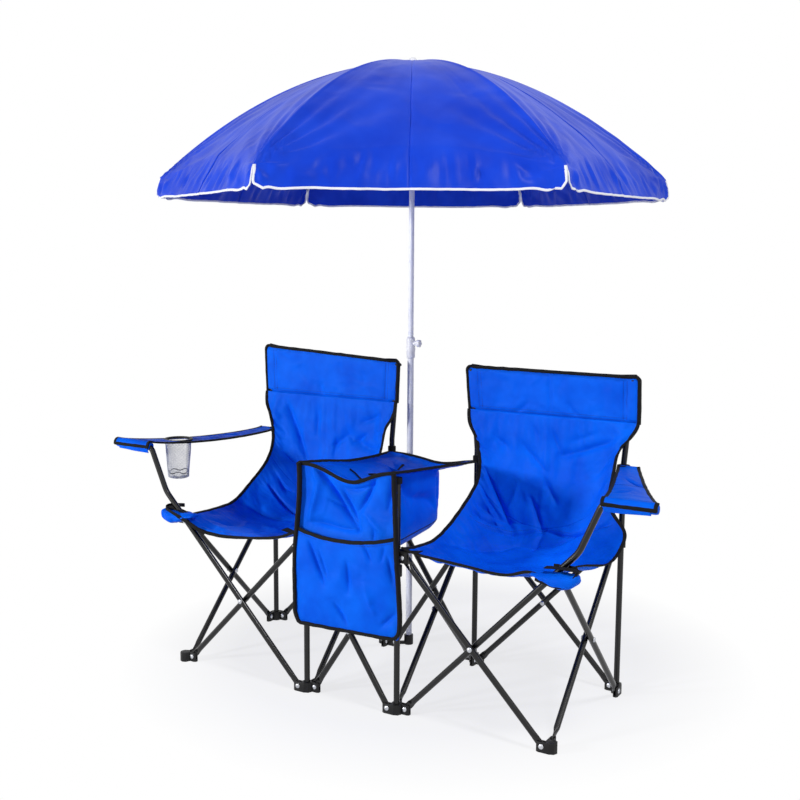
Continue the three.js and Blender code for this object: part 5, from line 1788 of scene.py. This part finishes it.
@dataclass
class ClothTable:
    """The cloth table between the chairs: sagging top, cooler bag and hanging pocket panel."""

    top: float = 0.641
    half_width: float = 0.150
    rear_half_width: float = 0.147
    front_y: float = LAYOUT.front_y - 0.022
    rear_y: float = LAYOUT.post_y - 0.0085
    panel_bottom: float = 0.205
    panel_flare: float = 0.018
    mouth: float = 0.452
    thickness: float = 1.6 * MM
    columns: int = 40
    rows: int = 56

    # Height of the left and right edge from front to rear
    LEFT_EDGE = (0.645, 0.631, 0.614, 0.606, 0.603)
    RIGHT_EDGE = (0.648, 0.636, 0.625, 0.614, 0.603)

    def motions(self) -> dict[str, Motion]:
        """How the table's pieces follow the folding frame.

        Returns:
            The motions of the left half, the right half and the front panel.
        """
        depth_keep = LAYOUT.folded_bay / LAYOUT.chair_bay
        width_keep = LAYOUT.folded_bay / LAYOUT.table_bay
        rear = (0.0, LAYOUT.post_y, self.top)
        left = (-LAYOUT.inner_x, LAYOUT.front_y, self.top)
        return {
            "left": Motion(BODY_OF["post_rear_inner_left"], "frame_fold", (0, 1, 0), rear, depth_keep),
            "right": Motion(BODY_OF["post_rear_inner_right"], "frame_fold", (0, 1, 0), rear, depth_keep),
            "front": Motion(BODY_OF["post_front_inner_left"], "frame_fold", (1, 0, 0), left, width_keep),
        }

    def top_place(self, across: float, v: float) -> Vector:
        """Point of the table top.

        Args:
            across: 0 at the left edge to 1 at the right one.
            v: 0 at the front edge to 1 at the rear one.

        Returns:
            The point before the cloth settles.
        """
        u = 2 * across - 1
        width = between(self.half_width, self.rear_half_width, v) - 0.006 * math.sin(math.pi * v)
        edge = between(level_along(self.LEFT_EDGE, v), level_along(self.RIGHT_EDGE, v), across)
        middle = between(0.08, 0.2, v)
        hollow = between(0.036, 0.015, v**3) * bell(u, middle, 0.52) * (1 - u**4)
        return Vector((u * width, between(self.front_y, self.rear_y, v), edge - hollow))

    def panel_place(self, across: float, drop: float) -> Vector:
        """Point of the hanging panel's back layer.

        Args:
            across: 0 at the left edge to 1 at the right one.
            drop: 0 at the table's front edge to 1 at the bottom hem.

        Returns:
            The point.
        """
        u = 2 * across - 1
        z = between(self.top_place(across, 0.0).z, self.panel_bottom + 0.004 * u, drop)
        hollow = 0.010 * math.sin(math.pi * min(drop / 0.44, 1.0)) * (1 - u**4)
        return Vector((self.panel_x(u, z), self.front_y + 0.003 + hollow, z))

    def panel_x(self, u: float, z: float) -> float:
        """X of the panel at a height, from -1 at its left edge to +1 at its right one.

        Args:
            u: where across.
            z: the height.

        Returns:
            The X.
        """
        drop = (self.top - z) / (self.top - self.panel_bottom)
        corner = 0.010 * smooth_step((drop - 0.93) / 0.07) * abs(u) ** 8
        half = self.half_width + self.panel_flare * smooth_step(drop * 1.2) - corner
        return u * half + 0.002 * math.sin(9 * drop)

    def pocket_place(self, across: float, drop: float) -> Vector:
        """Point of the pocket on the panel, from its mouth to the bottom hem.

        Args:
            across: 0 at the left edge to 1 at the right one.
            drop: 0 at the mouth to 1 at the bottom hem.

        Returns:
            The point.
        """
        u = 2 * across - 1
        mouth = self.mouth + 0.022 * u**2 + 0.006 * u
        bow = (1 - u**4) * (0.35 + 0.65 * math.sin(math.pi * min(drop * 0.9 + 0.12, 1.0)))
        z = between(mouth, self.panel_bottom + 0.004 * u, drop)
        return Vector((self.panel_x(u, z), self.front_y - 0.002 - 0.013 * bow, z))

    def build(self) -> None:
        """Builds the table top, its tapes and zip, the panel, the pocket and the bag."""
        motions = self.motions()
        size = (0.30, 0.47)
        bm, grid = cloth_grid(self.top_place, self.columns, self.rows, size)
        column = {vert: i for row in grid for i, vert in enumerate(row)}
        for face in bm.faces:
            face.material_index = int(min(column[vert] for vert in face.verts) >= self.columns // 2)
        drape = Drape(slack=0.025, reach=8 * MM)
        folds = Folds(size, Z_AXIS, TOP_CREASES, height=2.2 * MM, grain=(0.04, 0.05), seed=5.5)
        names = ["table_top_left", "table_top_right"]
        parts, points = sewn_sheet(bm, grid, names, self.thickness, folds, drape)
        tape = Tape(half_width=5.0 * MM, half_thickness=3.6 * MM)
        half = self.columns // 2
        spans = (slice(0, half + 1), slice(half, self.columns + 1))
        for part, side, i, k, span in zip(parts, ("left", "right"), (0, -1), (1, -2), spans):
            edge = tape.along_side(f"table_{side}_tape", points, i, k)
            rear = tape.along_edge(f"table_{side}_rear_tape", points[-1][span], points[-2][span])
            motions[side].carry(part, edge, rear)
        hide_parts("table_and_cooler")
        self.add_zip(points, motions)
        self.add_panel(points, motions["front"])
        self.add_corner_ties()
        self.add_bag(motions)

    def add_zip(self, points: Rows, motions: dict[str, Motion]) -> None:
        """Adds the bag's zip across the top and the two short stitched slots beside it.

        Args:
            points: the settled top, row by row.
            motions: the table's motions.
        """
        lines = {
            "zip_tape": ((0.40, 0.34), (0.41, 0.46), (0.40, 0.60), (0.34, 0.80), 8.0),
            "slot_left": ((0.29, 0.243), (0.36, 0.225), (0.42, 0.205), (0.48, 0.182), 3.5),
            "slot_right": ((0.77, 0.80), (0.76, 0.86), (0.755, 0.92), (0.75, 0.97), 3.5),
        }
        for name, (*spots, width) in lines.items():
            flat = [curve_through(spots, k / 16) for k in range(17)]
            edge = [on_cloth(points, spot.x, spot.y) + Z_AXIS * 2.0 * MM for spot in flat]
            tape = Tape(half_width=width * MM / 2, half_thickness=2.2 * MM)
            piece = tape.along_edge(f"table_{name}", edge, [point + X_AXIS * 0.01 for point in edge])
            motions["left" if flat[0].x < 0.5 else "right"].carry(piece)

    def add_panel(self, points: Rows, motion: Motion) -> None:
        """Adds the hanging panel, its pocket, their tapes and stitching.

        Args:
            points: the settled top, row by row.
            motion: the panel's motion.
        """
        width, drop = 0.33, self.top - self.panel_bottom
        bm, grid = cloth_grid(self.panel_place, 50, 66, (width, drop))
        for i, vert in enumerate(grid[0]):
            vert.co = on_cloth(points, i / 50, 0.0)
        folds = Folds((width, drop), -Y_AXIS, PANEL_CREASES, 1.8 * MM, (0.05, 0.05), 9.2, 0.05)
        (panel,), back = sewn_sheet(bm, grid, ["panel_back"], self.thickness, folds)
        bm, grid = cloth_grid(self.pocket_place, 50, 42, (width, 0.25))
        folds = Folds((width, 0.25), -Y_AXIS, POCKET_CREASES, 2.0 * MM, (0.045, 0.06), 6.1, 0.05)
        (pocket,), front = sewn_sheet(bm, grid, ["panel_pocket"], self.thickness, folds)
        tape = Tape(half_width=5.2 * MM, half_thickness=2.4 * MM)
        wide = Tape(half_width=5.2 * MM, half_thickness=7.5 * MM)
        edge, inner = self.panel_border(back)
        below = [point + Vector((0, 0.001, -0.01)) for point in back[0]]
        line = [point + Vector((0, -0.0016, -0.012)) for point in front[0][2:-2]]
        motion.carry(
            panel,
            pocket,
            Stitching().sewn("panel_stitching", [line], -Y_AXIS),
            tape.along_edge("panel_top_tape", back[0], below),
            tape.along_edge("panel_mouth_tape", front[0], front[1]),
            wide.along_edge("panel_border_tape", edge, inner),
        )

    def panel_border(self, back: Rows) -> tuple[list[Vector], list[Vector]]:
        """The panel's left, bottom and right edges as one line with rounded corners, and points inside it.

        Args:
            back: the panel's points, row by row.

        Returns:
            The line and the points inside it.
        """
        corner_left = [back[-3][0].lerp(back[-3][1], 0.1), back[-2][1].lerp(back[-1][1], 0.4)]
        corner_right = [back[-2][-2].lerp(back[-1][-2], 0.4), back[-3][-1].lerp(back[-3][-2], 0.1)]
        left, right = [row[0] for row in back[:-3]], [row[-1] for row in back[-4::-1]]
        line = [*left, *corner_left, *back[-1][3:-3], *corner_right, *right]
        edge = [point - Y_AXIS * 0.007 for point in line]
        middle = on_cloth(back, 0.5, 0.5).x
        inner = [Vector((middle, point.y, max(point.z, self.panel_bottom + 0.15))) for point in edge]
        return edge, inner

    def add_corner_ties(self) -> None:
        """Adds the webbing loops that hold the table cloth on its four posts."""
        for name in ("rear_inner_left", "rear_inner_right", "front_inner_left", "front_inner_right"):
            level = 0.611 if "rear" in name else 0.624
            bm = bmesh.new()
            band(bm, LAYOUT.corner(name) + Z_AXIS * level, 10.6 * MM, 1.4 * MM, 8.5 * MM)
            Motion(BODY_OF[f"post_{name}"]).carry(finish_piece(f"table_loop_{name}", bm, HEM_TAPE))

    def add_bag(self, motions: dict[str, Motion]) -> None:
        """Adds the cooler bag under the top: a soft box in two halves, with its piped bottom seam.

        Args:
            motions: the table's motions.
        """
        size = (0.38, 0.34)
        for side, sign in (("left", -1), ("right", 1)):
            bm, grid = cloth_grid(lambda share, drop: self.bag_place(sign, share, drop), 56, 34, size)
            folds = Folds(
                size, X_AXIS * sign, BAG_CREASES, 2.4 * MM, (0.05, 0.05), 8.4 * sign, 0.05, sides_open=True
            )
            (piece,), points = sewn_sheet(bm, grid, [f"cooler_bag_{side}"], 2.0 * MM, folds)
            seam = [on_cloth(points, k / 70, 0.54) for k in range(71)]
            tape = Tape(half_width=2.2 * MM, half_thickness=1.6 * MM, overlap=1.5 * MM)
            below = [point - Z_AXIS * 0.01 for point in seam]
            motions[side].carry(piece, tape.along_edge(f"cooler_bag_{side}_piping", seam, below))

    def bag_place(self, sign: int, round_share: float, drop: float) -> Vector:
        """Point of one half of the bag.

        Args:
            sign: which half.
            round_share: 0 at the middle of the front wall to 1 at the middle of the rear wall.
            drop: 0 at the top, 0.62 at the bottom edge, 1 at the middle line of the base.

        Returns:
            The point.
        """
        half, front, rear = 0.124, -0.452, -0.196
        middle, depth = (front + rear) / 2, (rear - front) / 2
        turn = math.pi * (round_share - 0.5)
        x, y = half * powered(math.cos(turn), 0.26), depth * powered(math.sin(turn), 0.26)
        wall = min(drop / 0.62, 1.0)
        base = max(0.0, (drop - 0.62) / 0.38)
        shrink = (1 - 0.03 * wall - 0.10 * smooth_step((wall - 0.88) / 0.12)) * (1 - base)
        bow = 1 + 0.02 * math.sin(math.pi * wall)
        spot = Vector((sign * x * shrink * bow, middle + y * shrink * bow))
        v = (spot.y - self.front_y) / (self.rear_y - self.front_y)
        high = self.top_place((spot.x / self.half_width + 1) / 2, v).z - 0.006
        low = between(0.424, 0.447, (spot.y - front) / (rear - front)) - 0.006 * math.sin(math.pi * base / 2)
        return Vector((spot.x, spot.y, between(high, low, wall)))


# Parasol


@dataclass
class Parasol:
    """The six-panel parasol: canopy sectors that ride on their ribs, poles, clamp, crown, runner and ribs."""

    x: float = -0.099
    apex: float = 1.740
    reach: float = 0.738
    drop: float = 0.330
    valance: float = 0.058
    valance_flare: float = 0.014
    thickness: float = 1.0 * MM
    slit_opening: float = 5.0 * MM
    hem_corner: float = 24 * MM
    fold_arc: float = 0.075
    ribs: int = 6
    first_angle: float = -90.0
    hole: float = 8.8 * MM
    keep: float = 0.16
    columns: int = 52
    roof_rows: int = 60
    fall_rows: int = 16

    def roof(self, reach: float) -> float:
        """Height of the roof over a rib, at a distance from the pole."""
        return self.apex - self.drop * (reach / self.reach) ** 2

    def place(self, angle: float, local: float, share: float, fall: float) -> Vector:
        """Point of the canopy.

        Args:
            angle: the rib's angle in radians.
            local: the angle from that rib, within half a panel.
            share: how far out along the roof, from 0 to 1.
            fall: how far down the valance, from 0 to 1.

        Returns:
            The point.
        """
        half = math.pi / self.ribs
        off = half - abs(local)
        mid = 1 - (off / half) ** 2
        chord = math.cos(half) / math.cos(off)
        reach = self.reach * share * (1 - self.fold_arc * mid * share**4)
        wide, height = reach * chord, self.roof(reach) - 0.004 * mid * share
        hem_wide = (self.reach + self.valance_flare) * chord + 0.003 * math.sin(24 * local)
        hem_height = self.roof(self.reach) - self.valance - 0.002 * mid
        bulge = math.sin(math.pi * fall) * 0.003
        wide, height = between(wide, hem_wide, fall) + bulge, between(height, hem_height, fall)
        turn = angle + local
        out = Vector((math.cos(turn), math.sin(turn), 0))
        point = Vector((self.x, 0, height)) + out * wide
        inward, aside = self.reach - reach + 0.5 * fall * self.valance, abs(local) * self.reach
        from_tip = math.hypot(inward, aside)
        fan = math.sin(17 * math.atan2(inward, aside + 0.001) + 1.5 * math.sin(angle * 3 + (local > 0)))
        rise = 9.0 * MM * fan * math.exp(-from_tip / 0.15) * (1 - math.exp(-from_tip / 0.03))
        rise *= 1 - 0.6 * fall
        seam = bell(aside * share, 0.0, 0.005)
        rise += 1.8 * MM * seam * (1 - fall) - 1.6 * MM * bell(off * reach, 0.0, 0.004) * (1 - fall)
        rise += 4.0 * MM * wrinkled(point / 0.09, 2.7) * share * (1 - fall) * (1 - seam)
        rise += 3.5 * MM * wrinkled(Vector((turn * 9, share * 1.3, 3)), 6.0) * share * (1 - fall) * (1 - seam)
        point.z += rise
        swing = 8.0 * MM * wrinkled(Vector((turn * self.reach / 0.028, fall * 1.4, 1)), 4.2)
        return point + out * (swing * math.sin(math.pi * min(fall, 0.9)) * smooth_step(aside / 0.02))

    def build(self) -> None:
        """Builds the whole parasol."""
        for number in range(1, self.ribs + 1):
            self.add_sector(number)
            self.dress_rib(number)
        self.add_crown_patch()
        self.add_poles()
        self.add_clamp()

    def sector_motion(self, number: int) -> tuple[float, Motion]:
        """A rib's angle, and the motion that puts its cloth on the rib, with a gathering for the closing
        parasol that carry() does not apply.

        Args:
            number: the rib's number.

        Returns:
            The angle in radians and the motion.
        """
        angle = math.radians(self.first_angle + 360 * (number - 1) / self.ribs)
        sideways = (-math.sin(angle), math.cos(angle), 0.0)
        anchor = (self.x, 0.0, self.apex)
        return angle, Motion(BODY_OF[f"parasol_rib_{number}"], "parasol_close", sideways, anchor, self.keep)

    def add_sector(self, number: int) -> None:
        """Adds the cloth on both sides of one rib, to the middle of each panel, and its hem tape.

        Args:
            number: the rib's number.
        """
        angle, motion = self.sector_motion(number)
        half = math.pi / self.ribs
        columns, rows = self.columns, self.roof_rows + self.fall_rows
        start = 0.022 / self.reach
        bm = bmesh.new()
        edges: dict[int, Rows] = {}
        for sign in (-1, 1):
            grid = grid_of(bm, columns, rows)
            map_weave(bm, grid, lambda j, i: (sign * 0.37 * (i / columns) * j / rows, 0.85 * j / rows))
            for j, row in enumerate(grid):
                fall = max(0.0, (j - self.roof_rows) / self.fall_rows)
                share = between(start, 1.0, min(j / self.roof_rows, 1.0))
                low = max(0.0, self.hem_corner - (1 - fall) * self.valance)
                rounded = self.hem_corner - math.sqrt(self.hem_corner**2 - low**2)
                gap = (min(fall * 4, 1) * self.slit_opening / 2 + rounded) / self.reach
                for i, vert in enumerate(row):
                    vert.co = self.place(angle, sign * between(gap, half, (i / columns) ** 1.2), share, fall)
            edges[sign] = [[vert.co.copy() for vert in row] for row in grid]
        bmesh.ops.remove_doubles(bm, verts=bm.verts[:], dist=0.01 * MM)
        bmesh.ops.recalc_face_normals(bm, faces=bm.faces[:])
        sector = cloth_piece(f"canopy_{number}", bm, CANOPY_TAFFETA, self.thickness)
        if number == 1:
            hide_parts("parasol_canopy")
        tape = Tape(half_width=3.2 * MM, half_thickness=1.4 * MM, overlap=2.6 * MM, finish=WHITE_TAPE)
        pieces = []
        for sign, word in ((-1, "left"), (1, "right")):
            grid = edges[sign]
            sides = range(rows - 1, self.roof_rows, -1)
            hem = grid[-1][::-1] + [grid[j][0] for j in sides]
            inner = grid[-3][::-1] + [grid[j][2] for j in sides]
            pieces.append(tape.along_edge(f"canopy_{number}_{word}_hem", hem, inner))
        motion.carry(sector, *pieces)

    def add_crown_patch(self) -> None:
        """Adds the round patch of canopy under the finial."""
        reaches = [between(self.hole, 0.034, k / 7) for k in range(8)]
        bm = spun([(reach, self.roof(reach) + 0.0018) for reach in reaches], Vector((self.x, 0, 0)), 48)
        patch = cloth_piece("canopy_crown_patch", bm, CANOPY_TAFFETA, self.thickness)
        Motion(BODY_OF["parasol_upper_pole"]).carry(patch)

    def dress_rib(self, number: int) -> None:
        """Gives a rib and its stretcher their enamel, and the rib a white tip.

        Args:
            number: the rib's number.
        """
        for node in (f"parasol_rib_{number}", f"parasol_stretcher_{number}"):
            set_finish(node, WHITE_ENAMEL)
        angle, _ = self.sector_motion(number)
        slope = math.atan2(2 * self.drop / self.reach, 1)
        flat = Vector((math.cos(angle), math.sin(angle), 0))
        outward = flat * math.cos(slope) - Z_AXIS * math.sin(slope)
        middle = Vector((self.x, 0, self.roof(self.reach) - 0.005)) + flat * (self.reach - 0.006)
        side = Vector((-math.sin(angle), math.cos(angle), 0))
        up = outward.cross(side)
        stations = [
            Station(middle + outward * d, side * r, up * r)
            for d, r in ((-0.012, 0.0034), (-0.002, 0.0036), (0.006, 0.0036), (0.009, 0.003), (0.011, 0.0015))
        ]
        tip = swept(f"parasol_rib_{number}_tip", WHITE_ABS, stations, 14)
        Motion(BODY_OF[f"parasol_rib_{number}"]).carry(tip)

    def add_poles(self) -> None:
        """Adds the turned poles in place of their CAD nodes, and keeps the slotted crown."""
        centre = Vector((self.x, 0, 0))
        tube = (
            (0.0084, 0.009), (0.0095, 0.0085), (0.0095, 0.900), (0.0090, 0.900), (0.0084, 0.900),
            (0.0084, 0.009),
        )
        lower = finish_piece("parasol_lower_pole_enamelled", spun(tube, centre), WHITE_ENAMEL)
        rod = ((0.0, 0.640), (0.0080, 0.640), (0.0080, 1.722), (0.0, 1.722))
        upper = finish_piece("parasol_upper_pole_enamelled", spun(rod, centre), WHITE_ENAMEL)
        crown = moulding("parasol_upper_pole", "parasol_crown", WHITE_ABS, above=1.69, bevel=0.5 * MM)
        stand_in(lower, "parasol_lower_pole")
        stand_in(upper, "parasol_upper_pole")
        Motion(BODY_OF["parasol_upper_pole"]).carry(crown)
        runner = moulding("parasol_runner", "parasol_runner_moulded", WHITE_ABS, bevel=0.5 * MM)
        stand_in(runner, "parasol_runner")

    def add_clamp(self) -> None:
        """Adds the moulded collar with its ribs and boss, and rounds the clamp knob."""
        outline = (
            (0.0096, 0.884), (0.0118, 0.886), (0.0128, 0.890), (0.0128, 0.905), (0.0136, 0.908),
            (0.0136, 0.914), (0.0128, 0.917), (0.0128, 0.941), (0.0120, 0.946), (0.0100, 0.948),
            (0.0086, 0.948), (0.0086, 0.900), (0.0096, 0.900), (0.0096, 0.884),
        )
        collar = finish_piece("parasol_clamp_collar", spun(outline, Vector((self.x, 0, 0))), WHITE_ABS)
        stations = [
            Station(Vector((self.x + reach, 0, 0.930)), Y_AXIS * radius, Z_AXIS * radius)
            for reach, radius in ((0.010, 0.0068), (0.018, 0.0066), (0.0205, 0.0062), (0.021, 0.0055))
        ]
        boss = swept("parasol_clamp_boss", WHITE_ABS, stations, 24)
        knob = moulding("parasol_clamp_knob", "parasol_clamp_knob_moulded", WHITE_ABS, bevel=0.8 * MM)
        stand_in(knob, "parasol_clamp_knob")
        Motion(BODY_OF["parasol_lower_pole"]).carry(collar, boss)


def set_finish(node: str, finish: Finish) -> None:
    """Gives a CAD node that stays shown a finish of its own.

    Args:
        node: the CAD node.
        finish: what it is made of.
    """
    piece = frame["nodes"][node]
    for slot in piece.material_slots:
        slot.material = finish.material()


# Studio


@dataclass
class Studio:
    """Camera at the photograph's angle, a pale floor and soft lamps."""

    place: Triple = (1.6231, -2.9201, 1.2240)
    yaw: float = 0.542
    pitch: float = -0.1364
    roll: float = 0.006
    lens: float = 51.36
    sensor: float = 36.0

    def build(self) -> None:
        """Sets up camera, floor, lamps, world and view."""
        self.add_camera()
        self.add_floor()
        self.add_world()
        self.add_lamp("Key lamp", (-3.0, -4.5, 1.6), (0.0, -0.3, 0.75), 0.6, 186)
        self.add_lamp("Side lamp", (4.0, -1.2, 1.9), (0.0, -0.2, 1.1), 1.2, 20)
        self.add_lamp("Top lamp", (2.2, -1.1, 3.9), (0.2, -0.2, 1.3), 0.7, 66)
        bpy.context.scene.view_settings.view_transform = "Standard"

    def add_camera(self) -> None:
        """Adds the camera that the CAD layout was measured with."""
        level, climb = math.cos(self.pitch), math.sin(self.pitch)
        ahead = Vector((-math.sin(self.yaw) * level, math.cos(self.yaw) * level, climb))
        right = Vector((math.cos(self.yaw), math.sin(self.yaw), 0))
        up = right.cross(ahead)
        side = right * math.cos(self.roll) + up * math.sin(self.roll)
        rise = up * math.cos(self.roll) - right * math.sin(self.roll)
        data = bpy.data.cameras.new("Photograph camera")
        data.lens = self.lens
        data.sensor_width = self.sensor
        camera = bpy.data.objects.new("Photograph camera", data)
        turn = Matrix((side, rise, -ahead)).transposed().to_4x4()
        camera.matrix_world = Matrix.Translation(Vector(self.place)) @ turn
        bpy.context.scene.collection.objects.link(camera)
        bpy.context.scene.camera = camera

    def add_lamp(self, name: str, place: Triple, aim: Triple, size: float, power: float) -> None:
        """Adds one square soft lamp, aimed at a point.

        Args:
            name: the lamp's name.
            place: where it is.
            aim: what it faces.
            size: its side in metres.
            power: its power in watts.
        """
        data = bpy.data.lights.new(name, "AREA")
        data.size = size
        data.energy = power
        lamp = bpy.data.objects.new(name, data)
        lamp.location = place
        lamp.rotation_mode = "QUATERNION"
        lamp.rotation_quaternion = (Vector(aim) - Vector(place)).to_track_quat("-Z", "Y")
        bpy.context.scene.collection.objects.link(lamp)

    def seen_directly(self, tree: NodeTree) -> NodeSocket:
        """A factor that is 1 for what the camera, gloss or glass sees, and 0 for the light itself.

        Args:
            tree: the node tree.

        Returns:
            The factor's socket.
        """
        path = add(tree, "LightPath").outputs
        rays = {0: path["Is Glossy Ray"], 1: path["Is Transmission Ray"]}
        gloss = add(tree, "Math", rays, operation="MAXIMUM")
        rays = {0: path["Is Camera Ray"], 1: gloss.outputs[0]}
        return add(tree, "Math", rays, operation="MAXIMUM").outputs[0]

    def add_world(self) -> None:
        """White to the eye, and a softer white as light."""
        world = bpy.data.worlds.new("Studio white")
        world.use_nodes = True
        tree = world.node_tree
        tree.nodes.clear()
        lit = add(tree, "Background", {"Color": linear("#eceeff"), "Strength": 0.19})
        seen = add(tree, "Background", {"Color": linear("#ffffff"), "Strength": 1.0})
        links = {"Fac": self.seen_directly(tree), 1: lit.outputs[0], 2: seen.outputs[0]}
        mixed = add(tree, "MixShader", links)
        add(tree, "OutputWorld", {"Surface": mixed.outputs[0]})
        bpy.context.scene.world = world

    def add_floor(self) -> None:
        """A matt white floor that keeps soft shadows and fades into the white behind it."""
        material = bpy.data.materials.new("Matt white floor")
        material.use_nodes = True
        tree = material.node_tree
        tree.nodes.clear()
        place = add(tree, "TexCoord").outputs["Object"]
        distance = add(tree, "VectorMath", {0: place}, operation="LENGTH").outputs["Value"]
        ends = {"From Min": 0.6, "From Max": 0.94, "To Min": 0.76, "To Max": 1.0}
        fade = add(tree, "MapRange", {"Value": distance, **ends}).outputs["Result"]
        shown = add(tree, "Math", {0: fade, 1: self.seen_directly(tree)}, operation="MULTIPLY")
        matt = add(tree, "BsdfDiffuse", {"Color": linear("#f4f5fa")})
        white = add(tree, "Emission", {"Color": linear("#ffffff"), "Strength": 1.0})
        mixed = add(tree, "MixShader", {"Fac": shown.outputs[0], 1: matt.outputs[0], 2: white.outputs[0]})
        add(tree, "OutputMaterial", {"Surface": mixed.outputs[0]})
        bm = bmesh.new()
        bmesh.ops.create_circle(bm, cap_ends=True, segments=96, radius=30.0)
        floor = finish_piece("studio_floor", bm, SEAT_OXFORD, closed=False)
        floor.data.materials.clear()
        floor.data.materials.append(material)


def main() -> None:
    """Builds every sub-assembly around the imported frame, in order."""
    logging.basicConfig(level=logging.INFO, format="%(message)s")
    noise.seed_set(WRINKLE_SEED)
    Studio().build()
    SteelFrame().build()
    for side in Side:
        SeatCover(side).build()
        Armrest(side).build()
    ClothTable().build()
    Parasol().build()


if __name__ == "__main__":
    main()
